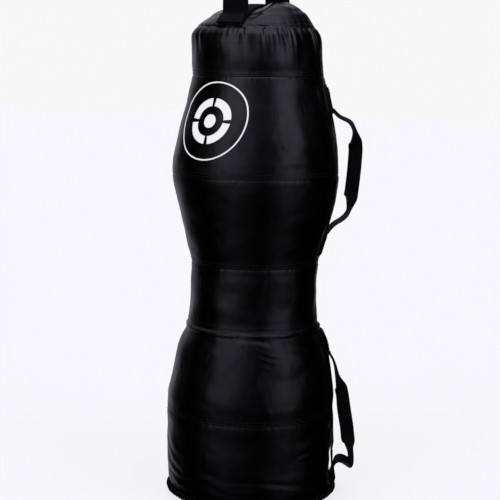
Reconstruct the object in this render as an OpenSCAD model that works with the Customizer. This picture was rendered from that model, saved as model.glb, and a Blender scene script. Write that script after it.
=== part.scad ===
// Body opponent mannequin: a stuffed hourglass striking and grappling bag.
// Frame: origin at the centre of the flat base, +Z up, front faces -Y. Millimetres.
// Azimuth is measured from the front (-Y) towards +X. Right handles are on +X, left on -X.

/* [Body] */
// Height of the stuffed body from the floor to the crown
body_h = 914; // [840:1:1000]
// Diameter across the hips, at the foot
hip_d = 319; // [296:1:334]
// Diameter across the chest
chest_d = 306; // [286:1:322]
// Diameter of the waist
waist_d = 236; // [212:1:248]
// Diameter of the head section
head_d = 241; // [226:1:260]
// Thickness of the coated cover
cover_t = 1.2; // [0.8:0.1:1.6]

/* [Inside] */
// Thickness of the closed-cell foam wrap
wrap_t = 12; // [8:1:18]
// Thickness of the woven liner bag
liner_t = 0.8; // [0.5:0.1:1.2]
// Diameter of the sand ballast bag
ballast_d = 130; // [100:1:160]
// Height of the sand ballast bag
ballast_h = 70; // [50:1:100]
// Thickness of the stiff board in the foot
board_t = 5; // [3:0.5:8]

/* [Foot] */
// Number of turns of the foot lacing
lace_turns = 96; // [72:1:100]
// Diameter of the lacing cord
lace_d = 3; // [2.4:0.1:3.2]

/* [Side handles] */
// Azimuth of each handle row from the front
handle_az = 120; // [110:1:140]
// Width of the handle webbing
web_w = 50; // [38:1:52]
// Thickness of one layer of webbing
web_t = 2; // [1.6:0.1:2.2]
// Width of the folded grip
grip_w = 23; // [20:0.5:24]
// Thickness of the folded grip
grip_t = 9; // [8:0.5:10]

/* [Crown loop] */
// Width of the crown webbing
loop_w = 50; // [45:1:55]
// Thickness of the doubled loop webbing
loop_t = 4; // [3:0.5:5]
// Half distance between the loop's legs
loop_r = 82; // [78:1:88]
// Height of the loop above the crown
loop_rise = 92; // [70:1:110]

/* [Emblem] */
// Outside diameter of the printed target
emblem_d = 148; // [120:1:156]
// Azimuth of the printed target
emblem_az = -10; // [-30:1:30]

/* [Hidden] */
$fn = 96;

cover_black = [0.05, 0.05, 0.055];
webbing_black = [0.03, 0.03, 0.03];
foam_grey = [0.35, 0.36, 0.38];
emblem_white = [0.93, 0.93, 0.93];

// Each measured table below is drawn for these sizes and scaled from them
z_scale = body_h / 914;
hip_scale = hip_d / 319;
chest_scale = chest_d / 306;
waist_scale = waist_d / 236;
head_scale = head_d / 241;

// Scales rows of [radius, z]
function sized(rows, r_scale) = [for (p = rows) [p[0] * r_scale, p[1] * z_scale]];
function flip(list) = [for (i = [len(list) - 1:-1:0]) list[i]];

// Catmull-Rom curve through points, with a number of steps to each span
function catmull(a, b, c, d, t) =
  0.5 * (2 * b + (c - a) * t + (2 * a - 5 * b + 4 * c - d) * t * t
    + (3 * b - a - 3 * c + d) * t * t * t);
function smooth(pts, steps) = concat(
  [for (i = [0:len(pts) - 2]) for (j = [0:steps - 1])
    catmull(pts[max(i - 1, 0)], pts[i], pts[i + 1], pts[min(i + 2, len(pts) - 1)], j / steps)],
  [pts[len(pts) - 1]]);

// Seam heights, from the foot to the crown
z_foot = 17.5 * z_scale;
z_hip = 165 * z_scale;
z_waist_lo = 330 * z_scale;
z_waist_hi = 444 * z_scale;
z_chest = 608.5 * z_scale;
z_head = 787.5 * z_scale;
z_crown = 874 * z_scale;
seams = [z_hip, z_waist_lo, z_waist_hi, z_chest, z_head];

// Outer surface of the cover, rows of [radius, z], split by the diameter that scales them
hip_rows = [
  [154.8, 17.5], [157.4, 31], [159.4, 62], [159.5, 104], [158.4, 136], [156.6, 165],
  [155.9, 192], [152, 223], [146.2, 254], [139.3, 285], [130.4, 310]
];
waist_rows = [
  [120.2, 330], [118.3, 356], [118, 386], [118.1, 417], [118.6, 444], [123.9, 467]
];
chest_rows = [
  [131.4, 497], [139, 527], [146.6, 556], [151.5, 586], [153, 608.5], [152.3, 635],
  [148.2, 665], [143, 694], [135.9, 723], [127.9, 752]
];
head_rows = [
  [120.4, 787.5], [120.5, 805], [120.5, 824], [119.3, 848], [115.4, 863], [108.3, 874]
];
wall = smooth(concat(
  sized(hip_rows, hip_scale), sized(waist_rows, waist_scale),
  sized(chest_rows, chest_scale), sized(head_rows, head_scale)), 2);
wall_by_z = [for (p = wall) [p[1], p[0]]];

function wall_r(z) = lookup(z, wall_by_z);
// Wall heights between two limits, with the limits themselves
function levels(bottom, top) = concat(
  [bottom], [for (p = wall) if (p[1] > bottom + 1 && p[1] < top - 1) p[1]], [top]);

// Crown dome, rows of [radius, z above the crown seam]
dome = sized([
  [108.3, 0], [101, 7.6], [92.7, 14.7], [85, 19.8], [74.3, 25.3],
  [63.7, 29.7], [51, 33.9], [38.6, 36.8], [19.3, 39.2], [0, 40]
], head_scale);

// Turns children so that +X points along an azimuth
module at_az(az) {
  rotate([0, 0, az - 90]) children();
}

// Section of the wall between two heights and two offsets from its outer surface
module wall_profile(bottom, top, inner, outer) {
  heights = levels(bottom, top);
  polygon(concat(
    [for (z = heights) [wall_r(z) + outer, z]],
    [for (z = flip(heights)) [wall_r(z) + inner, z]]));
}

module wall_shell(bottom, top, inner, outer, angle = 360, start = 0) {
  rotate([0, 0, start])
    rotate_extrude(angle = angle)
      wall_profile(bottom, top, inner, outer);
}

// Part of the wall centred on an azimuth
module wall_arc(bottom, top, inner, outer, az, angle) {
  wall_shell(bottom, top, inner, outer, angle, az - 90 - angle / 2);
}

// Layer over the dome between two heights above it
module dome_shell(under, over) {
  rotate_extrude()
    polygon(concat(
      [for (p = dome) [p[0], z_crown + p[1] + over]],
      [for (p = flip(dome)) [p[0], z_crown + p[1] + under]]));
}

// ---- Cover ----
panel_gap = 0.04;      // between a panel and the one above
panel_angle = 179.96;  // just short of half a turn

module front_panel(bottom, top) {
  color(cover_black) wall_arc(bottom, top, -cover_t, 0, 0, panel_angle);
}

module back_panel(bottom, top) {
  color(cover_black) wall_arc(bottom, top, -cover_t, 0, 180, panel_angle);
}

module crown_panel() {
  dome_h = dome[len(dome) - 1][1];
  // The inner face moves inwards at the rim and downwards at the top
  inner = [for (p = flip(dome))
    let (rise = p[1] / dome_h)
    [max(0, p[0] - (1 - rise) * cover_t * 1.5), p[1] - rise * cover_t]];
  color(cover_black)
    translate([0, 0, z_crown + 0.02])
      rotate_extrude()
        polygon(concat(dome, inner));
}

foot_r = wall_r(z_foot);

// Flat base with a rounded, turned-up edge
module base_panel() {
  color(cover_black)
    rotate_extrude()
      polygon([
        [0, 0], [foot_r - 12, 0], [foot_r - 5, 3], [foot_r - 1.6, 7.6], [foot_r - 0.8, 10.6],
        [foot_r - 0.8 - cover_t, 10.6], [foot_r - 1.6 - cover_t, 8],
        [foot_r - 5.7, 4.1], [foot_r - 12.4, cover_t], [0, cover_t]
      ]);
}

// Lapped vertical joins where the front and back halves meet
module side_seam_laps() {
  edges = concat([z_foot], seams, [z_crown - 14 * z_scale]);
  seam_margin = 9;
  foot_margin = 4;
  color([0.045, 0.045, 0.05])
    for (az = [90, 270], i = [0:len(edges) - 2])
      wall_arc(edges[i] + (i == 0 ? foot_margin : seam_margin), edges[i + 1] - seam_margin,
        0.12, 0.9, az, 5);
}

// Tape that binds each seam's allowance inside the cover
module seam_binding_tape() {
  half_tape = 10;
  color([0.12, 0.12, 0.12])
    for (z = seams)
      wall_shell(z - half_tape, z + half_tape, -cover_t - 1.1, -cover_t - 0.1);
}

// Two rows of thread above each seam and one row below the crown seam
module panel_topstitching() {
  rows = concat([for (z = seams, up = [2.2, 8]) z + up], [z_crown - 9 * z_scale]);
  color([0.16, 0.16, 0.17])
    for (z = rows)
      rotate_extrude()
        translate([wall_r(z) + 0.45, z])
          circle(r = 0.35, $fn = 24);
}

// ---- Emblem: printed target, wrapped round the chest ----
z_emblem = 708 * z_scale;

// Thin skin on the wall, cut to a flat shape projected along the emblem's azimuth
module emblem_print() {
  half_h = emblem_d / 2 + 4;
  color(emblem_white)
    intersection() {
      wall_arc(z_emblem - half_h, z_emblem + half_h, 0.03, 0.4, emblem_az, 76);
      at_az(emblem_az)
        translate([60, 0, z_emblem])
          rotate([0, 90, 0])
            linear_extrude(height = 120)
              children();
    }
}

module emblem_ring() {
  emblem_print()
    difference() {
      circle(r = emblem_d / 2);
      circle(r = emblem_d / 2 - 2.8);
    }
}

// Centre dot and a ring split in four
module emblem_target() {
  slot_w = emblem_d * 0.045;
  emblem_print()
    union() {
      circle(r = emblem_d * 0.085);
      difference() {
        circle(r = emblem_d * 0.29);
        circle(r = emblem_d * 0.19);
        square([emblem_d, slot_w], center = true);
        square([slot_w, emblem_d], center = true);
      }
    }
}

// ---- Foot ----
z_rim = 13.6;  // height of the rim cord and the lacing

module base_board() {
  color([0.2, 0.2, 0.2])
    translate([0, 0, cover_t + 0.3])
      cylinder(r = foot_r - 16, h = board_t);
}

module base_rim_cord() {
  color([0.05, 0.05, 0.05])
    rotate_extrude()
      translate([foot_r - 0.7, z_rim])
        circle(r = 2.1, $fn = 32);
}

// Short arcs of cord that bow outwards over the rim cord
module base_lace() {
  arc_angle = 100;
  color(webbing_black)
    for (i = [0:lace_turns - 1])
      rotate([0, 0, i * 360 / lace_turns])
        translate([foot_r - 1, 0, z_rim])
          rotate([90, 0, 0])
            rotate([0, 0, -arc_angle / 2])
              rotate_extrude(angle = arc_angle)
                translate([4.5, 0])
                  circle(d = lace_d, $fn = 24);
}

// ---- Inside ----
wrap_gap = cover_t + 1.8;             // from the cover's outer surface to the foam
z_wrap = z_foot + 2;                  // bottom of the foam wrap
z_liner = cover_t + board_t + 1;      // underside of the liner
z_fill = z_liner + liner_t + 0.3;     // underside of the fill and the ballast
mouth_r = 22;                         // gathered mouth of the liner

// Radius of the liner's outer surface inside the foam
function core_r(z) = wall_r(z) - wrap_gap - wrap_t - 0.6;

module foam_wrap() {
  color(foam_grey)
    rotate_extrude()
      wall_profile(z_wrap, z_crown - 3, -wrap_gap - wrap_t, -wrap_gap);
}

module crown_pad() {
  pad_r = wall_r(z_crown) - wrap_gap - wrap_t - 2;
  // [share of the pad's radius, z above the crown seam]
  pad_top = [[1, 8], [0.8, 18], [0.5, 29], [0.2, 36], [0, 38]];
  color(foam_grey)
    rotate_extrude()
      polygon(concat(
        [[0, z_crown + 2], [pad_r, z_crown + 2]],
        [for (p = pad_top) [pad_r * p[0], z_crown + p[1] * z_scale]]));
}

module fill_liner() {
  z_side_top = z_crown - 24;
  z_shoulder = z_crown - 16;
  z_neck = z_crown - 10;
  z_mouth = z_crown - 2;
  heights = levels(z_wrap, z_side_top);
  bottom_r = core_r(z_wrap) - 6;
  shoulder_r = core_r(z_side_top) - 8;
  color([0.75, 0.74, 0.7])
    rotate_extrude()
      polygon(concat(
        [[0, z_liner], [bottom_r, z_liner]],
        [for (z = heights) [core_r(z), z]],
        [[shoulder_r, z_shoulder], [mouth_r + 6, z_neck], [mouth_r, z_mouth],
         [mouth_r - liner_t, z_mouth], [mouth_r + 5, z_neck - liner_t],
         [shoulder_r, z_shoulder - liner_t]],
        [for (z = flip(heights)) [core_r(z) - liner_t, z]],
        [[bottom_r - liner_t, z_liner + liner_t], [0, z_liner + liner_t]]));
}

module liner_tie() {
  color([0.9, 0.9, 0.85])
    rotate_extrude()
      translate([mouth_r + 3, z_crown - 3.2])
        circle(r = 1.4, $fn = 24);
}

// Fill with a pocket for the ballast bag
module textile_fill() {
  z_side_top = z_crown - 26;
  color([0.5, 0.5, 0.55])
    difference() {
      rotate_extrude()
        polygon(concat(
          [[0, z_fill], [core_r(z_wrap) - liner_t - 6.6, z_fill]],
          [for (z = levels(z_wrap, z_side_top)) [core_r(z) - liner_t - 0.3, z]],
          [[core_r(z_side_top) - 12, z_side_top + 7], [0, z_side_top + 12]]));
      translate([0, 0, z_fill - 1])
        cylinder(d = ballast_d + 1, h = ballast_h + 1.5);
    }
}

module ballast_bag() {
  color([0.6, 0.5, 0.35])
    translate([0, 0, z_fill])
      cylinder(d = ballast_d, h = ballast_h);
}

// ---- Flat webbing ----
// Unit normal of a path at one of its points
function path_normal(path, i) =
  let (step = path[min(i + 1, len(path) - 1)] - path[max(i - 1, 0)], size = norm(step))
  [-step[1] / size, step[0] / size];
// Outline of a band of a given thickness centred on a path
function band(path, thick) =
  let (count = len(path))
  concat(
    [for (i = [0:count - 1]) path[i] + path_normal(path, i) * thick / 2],
    [for (i = [count - 1:-1:0]) path[i] - path_normal(path, i) * thick / 2]);

// Extrudes a shape drawn in radius and height to a width across
module across(width) {
  rotate([90, 0, 0]) linear_extrude(height = width, center = true) children();
}

// ---- Crown strap and loop ----
strap_lift = 0.1;  // crown strap above the dome
z_leg = z_crown + lookup(loop_r, flip(dome)) + strap_lift + web_t + 0.4;
z_loop = z_leg + 37;     // bottom ends of the loop webbing
z_spring = z_loop + 8;   // where the arch springs from the legs
arch_h = body_h + loop_rise - loop_t / 2 - z_spring;
arch_steps = 24;
loop_path = concat(
  [[loop_r, z_loop]],
  [for (i = [0:arch_steps])
    let (turn = 180 * i / arch_steps)
    [loop_r * cos(turn), z_spring + arch_h * pow(sin(turn), 0.9)]],
  [[-loop_r, z_loop]]);

// Band that follows the dome from front to back over the top
module crown_strap() {
  color(webbing_black)
    intersection() {
      dome_shell(strap_lift, strap_lift + web_t);
      cube([loop_w, 400, 4000], center = true);
    }
}

// Arch over the crown, with one leg in front and one behind
module loop_webbing() {
  color(webbing_black) at_az(0) across(loop_w) polygon(band(loop_path, loop_t));
}

module loop_root_straps() {
  color(webbing_black)
    at_az(0)
      for (side = [1, -1])
        across(loop_w)
          polygon(band([
            [side * loop_r, z_loop - 0.3],
            [side * loop_r, z_leg + 8],
            [side * (loop_r + 0.6), z_leg + 1.6]
          ], loop_t));
}

// ---- Side handles ----
// Local frame: X outwards, Z up, Y along the surface.
patch_lift = 0.05;
patch_t = 1;
tab_lift = patch_lift + patch_t + 0.05;
deg_per_rad = 57.2958;

// Sewn webbing ends of a handle, [bottom, top] of the upper tab, then of the lower tab
upper_tabs = [[722 * z_scale, 767 * z_scale], [z_waist_hi + 14, 495.5 * z_scale]];
lower_tabs = [[272 * z_scale, 312 * z_scale], [23, 53.5 * z_scale]];

// Grip ends, top then bottom, each [radius, z]
upper_grip = [
  [184 * chest_scale, 607.5 * z_scale + 70],
  [175 * chest_scale, 607.5 * z_scale - 70]
];
lower_grip = [
  [169 * hip_scale, 147 * z_scale + 73],
  [193 * hip_scale, 147 * z_scale - 73]
];

// Point beside a tab where a strap leaves it
function tab_point(z) = [wall_r(z) + tab_lift + web_t / 2 + 0.35, z];

// Strap paths, upper tab to grip, then grip to lower tab; rows of [radius, z]
upper_paths = [
  smooth(concat(
    [tab_point(721.4 * z_scale)],
    sized([[144.4, 714.2], [153.5, 709.7], [165, 705.3], [175.3, 699], [181.5, 689]],
      chest_scale),
    [upper_grip[0]]), 3),
  smooth(concat(
    [upper_grip[1]],
    sized([[171, 525.5], [164.5, 519], [155, 513], [145.1, 507.7], [138.3, 502.8]],
      chest_scale),
    [tab_point(496.2 * z_scale)]), 3)
];
lower_paths = [
  smooth(concat(
    [tab_point(271.4 * z_scale)],
    sized([[150.6, 260.5], [156, 249.5], [161.3, 238], [165.4, 229]], hip_scale),
    [lower_grip[0]]), 3),
  smooth(concat(
    [lower_grip[1]],
    sized([[194.8, 62.8], [193.8, 52.7], [189.4, 46.9], [184, 48.4],
           [178.5, 54.6], [173, 60.8], [168.2, 62], [164.6, 59]], hip_scale),
    [tab_point(54.2 * z_scale)]), 3)
];

// Rectangle of a given width laid on the wall
module wall_piece(bottom, top, lift, thick, az, width) {
  angle = width / wall_r((bottom + top) / 2) * deg_per_rad;
  wall_arc(bottom, top, lift, lift + thick, az, angle);
}

// Reinforcing patches under the two tabs
module patches(tab_spans, az) {
  patch_w = web_w + 14;
  upper = tab_spans[0];
  lower = tab_spans[1];
  color(cover_black) {
    wall_piece(upper[0] - 6, upper[1] + 6, patch_lift, patch_t, az, patch_w);
    wall_piece(max(z_foot + 3, lower[0] - 4.5), lower[1] + 6, patch_lift, patch_t, az, patch_w);
  }
}

module tabs(tab_spans, az) {
  color(webbing_black)
    for (span = tab_spans)
      wall_piece(span[0], span[1], tab_lift, web_t, az, web_w);
}

// Flat webbing between a tab and the grip: full width at the tab, narrow at the grip
module strap(path, tab_first) {
  z_start = path[0][1];
  z_end = path[len(path) - 1][1];
  below = min([for (p = path) p[1]]) - 3;
  above = max([for (p = path) p[1]]) + 3;
  z_wide = tab_first ? z_start : z_end;
  z_narrow = tab_first ? z_end : z_start;
  wide_edge = tab_first ? above : below;
  narrow_edge = tab_first ? below : above;
  z_taper = z_wide - (z_wide - z_narrow) * 0.35;
  half_wide = web_w / 2;
  half_narrow = 8;
  intersection() {
    across(web_w) polygon(band(path, web_t));
    rotate([90, 0, 90])
      translate([0, 0, 60])
        linear_extrude(height = 200)
          polygon([
            [-half_wide, wide_edge], [half_wide, wide_edge],
            [half_wide, z_taper], [half_narrow, z_narrow],
            [half_narrow, narrow_edge], [-half_narrow, narrow_edge],
            [-half_narrow, z_narrow], [-half_wide, z_taper]
          ]);
  }
}

module straps(paths, az) {
  color(webbing_black)
    at_az(az) {
      strap(paths[0], true);
      strap(paths[1], false);
    }
}

// Puts +Z along the grip, from its top end to its bottom end
module along(ends) {
  step = ends[1] - ends[0];
  translate([ends[0][0], 0, ends[0][1]])
    rotate([0, 90 - atan2(step[1], step[0]), 0])
      children();
}

// Folded webbing with tapered ends, bored for the core
module grip_wrap(ends, az) {
  length = norm(ends[1] - ends[0]);
  half_w = grip_w / 2;
  half_t = grip_t / 2;
  color(webbing_black)
    at_az(az)
      along(ends)
        difference() {
          intersection() {
            rotate([90, 0, 0])
              linear_extrude(height = grip_t, center = true)
                polygon([
                  [-4, 0.5], [4, 0.5], [half_w, 18], [half_w, length - 18],
                  [4, length - 0.5], [-4, length - 0.5], [-half_w, length - 18], [-half_w, 18]
                ]);
            rotate([90, 0, 90])
              linear_extrude(height = 60, center = true)
                polygon([
                  [-half_t, 14], [-half_t + 1, 0], [half_t - 1, 0], [half_t, 14],
                  [half_t, length - 14], [half_t - 1, length],
                  [-half_t + 1, length], [-half_t, length - 14]
                ]);
          }
          translate([0, 0, -1]) cylinder(r = 2.6, h = length + 2);
        }
}

module grip_core(ends, az) {
  length = norm(ends[1] - ends[0]);
  color([0.4, 0.4, 0.4])
    at_az(az)
      along(ends)
        translate([0, 0, 1.5])
          cylinder(r = 2.5, h = length - 3);
}

// ---- Box and cross stitching through each sewn strap end ----
module box_stitch(width, height) {
  thread_w = 0.8;
  difference() {
    square([width, height], center = true);
    square([width - 2 * thread_w, height - 2 * thread_w], center = true);
  }
  for (side = [1, -1])
    rotate(side * atan2(height - 1, width - 1))
      square([norm([width, height]) - 2, thread_w], center = true);
}

module strap_stitching() {
  color([0.14, 0.14, 0.14]) {
    for (az = [handle_az, -handle_az], span = concat(upper_tabs, lower_tabs))
      intersection() {
        wall_piece(span[0], span[1], tab_lift + web_t + 0.05, 0.5, az, web_w);
        at_az(az)
          translate([60, 0, (span[0] + span[1]) / 2])
            rotate([90, 0, 90])
              linear_extrude(height = 160)
                box_stitch(web_w - 10, span[1] - span[0] - 7);
      }
    // Front and back ends of the crown strap
    for (az = [0, 180])
      intersection() {
        dome_shell(0.15 + web_t, 0.7 + web_t);
        at_az(az)
          translate([98.5, 0, z_crown - 20])
            linear_extrude(height = 80)
              box_stitch(14, loop_w - 10);
      }
  }
}

crown_panel();
front_panel(z_head, z_crown);  // head_front_panel
back_panel(z_head, z_crown);  // head_back_panel
front_panel(z_chest, z_head - panel_gap);  // chest_upper_front_panel
back_panel(z_chest, z_head - panel_gap);  // chest_upper_back_panel
front_panel(z_waist_hi, z_chest - panel_gap);  // chest_lower_front_panel
back_panel(z_waist_hi, z_chest - panel_gap);  // chest_lower_back_panel
front_panel(z_waist_lo, z_waist_hi - panel_gap);  // waist_front_panel
back_panel(z_waist_lo, z_waist_hi - panel_gap);  // waist_back_panel
front_panel(z_hip, z_waist_lo - panel_gap);  // hip_upper_front_panel
back_panel(z_hip, z_waist_lo - panel_gap);  // hip_upper_back_panel
front_panel(z_foot, z_hip - panel_gap);  // hip_lower_front_panel
back_panel(z_foot, z_hip - panel_gap);  // hip_lower_back_panel
base_panel();
side_seam_laps();
seam_binding_tape();
panel_topstitching();
emblem_ring();
emblem_target();
base_board();
base_rim_cord();
base_lace();
foam_wrap();
crown_pad();
fill_liner();
liner_tie();
textile_fill();
ballast_bag();
crown_strap();
loop_root_straps();
loop_webbing();
strap_stitching();
patches(upper_tabs, handle_az);  // upper_right_handle_patches
tabs(upper_tabs, handle_az);  // upper_right_handle_tabs
straps(upper_paths, handle_az);  // upper_right_handle_straps
grip_wrap(upper_grip, handle_az);  // upper_right_grip_wrap
grip_core(upper_grip, handle_az);  // upper_right_grip_core
patches(lower_tabs, handle_az);  // lower_right_handle_patches
tabs(lower_tabs, handle_az);  // lower_right_handle_tabs
straps(lower_paths, handle_az);  // lower_right_handle_straps
grip_wrap(lower_grip, handle_az);  // lower_right_grip_wrap
grip_core(lower_grip, handle_az);  // lower_right_grip_core
patches(upper_tabs, -handle_az);  // upper_left_handle_patches
tabs(upper_tabs, -handle_az);  // upper_left_handle_tabs
straps(upper_paths, -handle_az);  // upper_left_handle_straps
grip_wrap(upper_grip, -handle_az);  // upper_left_grip_wrap
grip_core(upper_grip, -handle_az);  // upper_left_grip_core
patches(lower_tabs, -handle_az);  // lower_left_handle_patches
tabs(lower_tabs, -handle_az);  // lower_left_handle_tabs
straps(lower_paths, -handle_az);  // lower_left_handle_straps
grip_wrap(lower_grip, -handle_az);  // lower_left_grip_wrap
grip_core(lower_grip, -handle_az);  // lower_left_grip_core
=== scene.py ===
"""A filled punch bag in glossy black coated cloth, with webbing handles and a hang loop.

The bag stands upright round the Z axis with its foot at z = 0 and its front towards -Y.
Azimuths are measured from the front towards +X; the "right" handles are on the +X side.
"""
import math

import bpy
import numpy as np
from mathutils import Matrix

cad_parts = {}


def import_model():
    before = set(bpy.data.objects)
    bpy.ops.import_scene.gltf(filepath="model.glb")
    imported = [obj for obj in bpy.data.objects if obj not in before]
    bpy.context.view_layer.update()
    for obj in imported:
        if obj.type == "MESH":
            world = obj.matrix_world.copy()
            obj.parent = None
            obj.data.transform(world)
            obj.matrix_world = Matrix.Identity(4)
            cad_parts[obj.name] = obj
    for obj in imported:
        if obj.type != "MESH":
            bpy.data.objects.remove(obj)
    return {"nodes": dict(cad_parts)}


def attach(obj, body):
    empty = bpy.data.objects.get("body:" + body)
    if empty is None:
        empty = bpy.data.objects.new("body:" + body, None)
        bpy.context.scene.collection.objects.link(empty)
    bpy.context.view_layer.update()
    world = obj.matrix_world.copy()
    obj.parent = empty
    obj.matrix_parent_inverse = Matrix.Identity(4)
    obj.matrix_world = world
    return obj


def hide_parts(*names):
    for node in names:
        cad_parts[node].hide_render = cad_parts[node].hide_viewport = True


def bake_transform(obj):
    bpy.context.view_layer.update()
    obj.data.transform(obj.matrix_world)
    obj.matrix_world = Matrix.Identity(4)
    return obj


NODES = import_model()["nodes"]
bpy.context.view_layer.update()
COLLECTION = bpy.context.scene.collection
MM = 0.001
PI = math.pi
VIEW = math.radians(27)     # azimuth of the viewer

# ------------------------------------------------------------------ curves and fields


def ease(x, start, end):
    """A soft step from 0 at start to 1 at end."""
    t = np.clip((np.asarray(x, float) - start) / (end - start), 0, 1)
    return t * t * (3 - 2 * t)


def bell(x, width):
    return np.exp(-(np.asarray(x, float) / width) ** 2)


def wrap(angle):
    return (np.asarray(angle, float) + PI) % (2 * PI) - PI


def around(count):
    """Evenly spaced angles round a full turn."""
    return 2 * PI * np.arange(count) / count


def polar(radius, angle, z):
    """Points from radius, azimuth and height."""
    radius, angle, z = np.broadcast_arrays(radius, angle, z)
    return np.stack([radius * np.sin(angle), -radius * np.cos(angle), z], -1)


def unit(vectors):
    return vectors / np.linalg.norm(vectors, axis=-1, keepdims=True)


def run_length(path):
    """Distance travelled at each point of a path."""
    return np.concatenate([[0], np.cumsum(np.linalg.norm(np.diff(path, axis=0), axis=1))])


def interp_rows(where, run, rows):
    """Interpolates each column of rows at the distances given."""
    return np.stack([np.interp(where, run, rows[:, i]) for i in range(rows.shape[1])], -1)


def spaced(length, pitch):
    """Middles of the equal steps that fill a length."""
    count = int(length / pitch)
    return (np.arange(count) + 0.5) / count * length


def random_field(seed, wavelength, stretch=1.0, radius=0.14, waves=44):
    """A smooth random field over (azimuth, z), periodic round the bag, of unit variance."""
    rng = np.random.default_rng(seed)
    heading = rng.uniform(0, 2 * PI, waves)
    number = 2 * PI / wavelength * rng.uniform(0.65, 1.35, waves)
    turns = np.rint(number * np.cos(heading) * radius * stretch)
    rise = number * np.sin(heading) / stretch
    phase = rng.uniform(0, 2 * PI, waves)

    def field(angle, z):
        out = np.zeros(np.broadcast(angle, z).shape)
        for i in range(waves):
            out += np.cos(turns[i] * angle + rise[i] * z + phase[i])
        return out * math.sqrt(2 / waves)

    return field


def spline(x, y):
    """Natural cubic spline through the points, straight beyond its ends."""
    x, y = np.asarray(x, float), np.asarray(y, float)
    count = len(x)
    step = np.diff(x)
    matrix = np.zeros((count, count))
    right = np.zeros(count)
    matrix[0, 0] = matrix[-1, -1] = 1
    for i in range(1, count - 1):
        matrix[i, i - 1:i + 2] = step[i - 1], 2 * (step[i - 1] + step[i]), step[i]
        right[i] = 6 * ((y[i + 1] - y[i]) / step[i] - (y[i] - y[i - 1]) / step[i - 1])
    bend = np.linalg.solve(matrix, right)
    slope_start, slope_end = (y[1] - y[0]) / step[0], (y[-1] - y[-2]) / step[-1]

    def value(at):
        at = np.asarray(at, float)
        i = np.clip(np.searchsorted(x, at) - 1, 0, count - 2)
        ahead, past = x[i + 1] - at, at - x[i]
        inside = (bend[i] * ahead**3 + bend[i + 1] * past**3) / (6 * step[i])
        inside = inside + (y[i] / step[i] - bend[i] * step[i] / 6) * ahead
        inside = inside + (y[i + 1] / step[i] - bend[i + 1] * step[i] / 6) * past
        after = np.where(at > x[-1], y[-1] + (at - x[-1]) * slope_end, inside)
        return np.where(at < x[0], y[0] + (at - x[0]) * slope_start, after)

    return value


def catmull(points, steps):
    """A smooth path through the points, with a number of steps from each to the next."""
    points = np.asarray(points, float)
    points = np.vstack([2 * points[0] - points[1], points, 2 * points[-1] - points[-2]])
    out = []
    for i in range(1, len(points) - 2):
        before, start, end, after = points[i - 1:i + 3]
        for j in range(steps):
            t = j / steps
            out.append(0.5 * (2 * start + (end - before) * t
                              + (2 * before - 5 * start + 4 * end - after) * t * t
                              + (3 * start - before - 3 * end + after) * t**3))
    out.append(points[-2])
    return np.array(out)


def soften(values, times):
    """Evens out a row of values, leaving the two at each end."""
    kernel = np.array([1, 2, 3, 2, 1.0]) / 9
    for _ in range(times):
        values = values.copy()
        values[2:-2] = np.convolve(values, kernel, "valid")
    return values


# ------------------------------------------------------------------ meshes
# A mesh is handed round as (verts, faces, uv), where uv is per vertex or None.


def mesh_points(mesh):
    points = np.zeros(len(mesh.vertices) * 3, np.float32)
    mesh.vertices.foreach_get("co", points)
    return points.reshape(-1, 3).astype(float)


def node_points(name):
    return mesh_points(NODES[name].data)


def z_range(points):
    return points[:, 2].min(), points[:, 2].max()


def turned_inward(points, triangles):
    corner = points[triangles]
    volume = np.einsum("ij,ij->i", corner[:, 0], np.cross(corner[:, 1], corner[:, 2])).sum()
    return volume < 0


def face_outward(mesh):
    """Turns a closed mesh right side out."""
    mesh.calc_loop_triangles()
    triangles = np.zeros(len(mesh.loop_triangles) * 3, np.int32)
    mesh.loop_triangles.foreach_get("vertices", triangles)
    if turned_inward(mesh_points(mesh), triangles.reshape(-1, 3)):
        mesh.flip_normals()


def make(name, shape, material, replaces=None, body="bag"):
    """Builds an object that rides on a body; with body None it is left unattached."""
    verts, faces, uv = shape
    mesh = bpy.data.meshes.new(name)
    corners = [tuple(int(i) for i in face) for face in faces]
    mesh.from_pydata([tuple(v) for v in np.asarray(verts, float)], [], corners)
    mesh.validate()
    face_outward(mesh)
    if uv is not None:
        layer = mesh.uv_layers.new(name="UVMap")
        index = np.zeros(len(mesh.loops), np.int32)
        mesh.loops.foreach_get("vertex_index", index)
        layer.data.foreach_set("uv", np.asarray(uv, np.float32)[index].ravel())
    mesh.polygons.foreach_set("use_smooth", [True] * len(mesh.polygons))
    mesh.update()
    item = bpy.data.objects.new(name, mesh)
    COLLECTION.objects.link(item)
    mesh.materials.append(material)
    if body:
        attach(item, body)
    if replaces:
        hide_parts(replaces)
    return item


def grid_faces(rows, columns, close_c=False, close_r=False, base=0, flip=False):
    """Quads of a grid; close_c and close_r join the last column or row to the first."""
    row = np.arange(rows if close_r else rows - 1)
    column = np.arange(columns if close_c else columns - 1)
    row, column = np.meshgrid(row, column, indexing="ij")
    row2, column2 = (row + 1) % rows, (column + 1) % columns
    quads = np.stack([row * columns + column, row * columns + column2,
                      row2 * columns + column2, row2 * columns + column], -1)
    quads = quads.reshape(-1, 4) + base
    return quads[:, ::-1] if flip else quads


def capped_rows(rows, start_z, end_z, flip=False):
    """Closed rings joined in a row, with a fan to the axis at both ends."""
    rows = np.asarray(rows)
    count, around_count = rows.shape[:2]
    total, last = count * around_count, (count - 1) * around_count
    verts = np.vstack([rows.reshape(-1, 3), [[0, 0, start_z], [0, 0, end_z]]])
    faces = grid_faces(count, around_count, close_c=True, flip=flip).tolist()
    pairs = [(i, (i + 1) % around_count) for i in range(around_count)]
    faces += [[total, i, j] if flip else [total, j, i] for i, j in pairs]
    faces += [[total + 1, last + j, last + i] if flip else [total + 1, last + i, last + j]
              for i, j in pairs]
    return verts, faces


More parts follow.
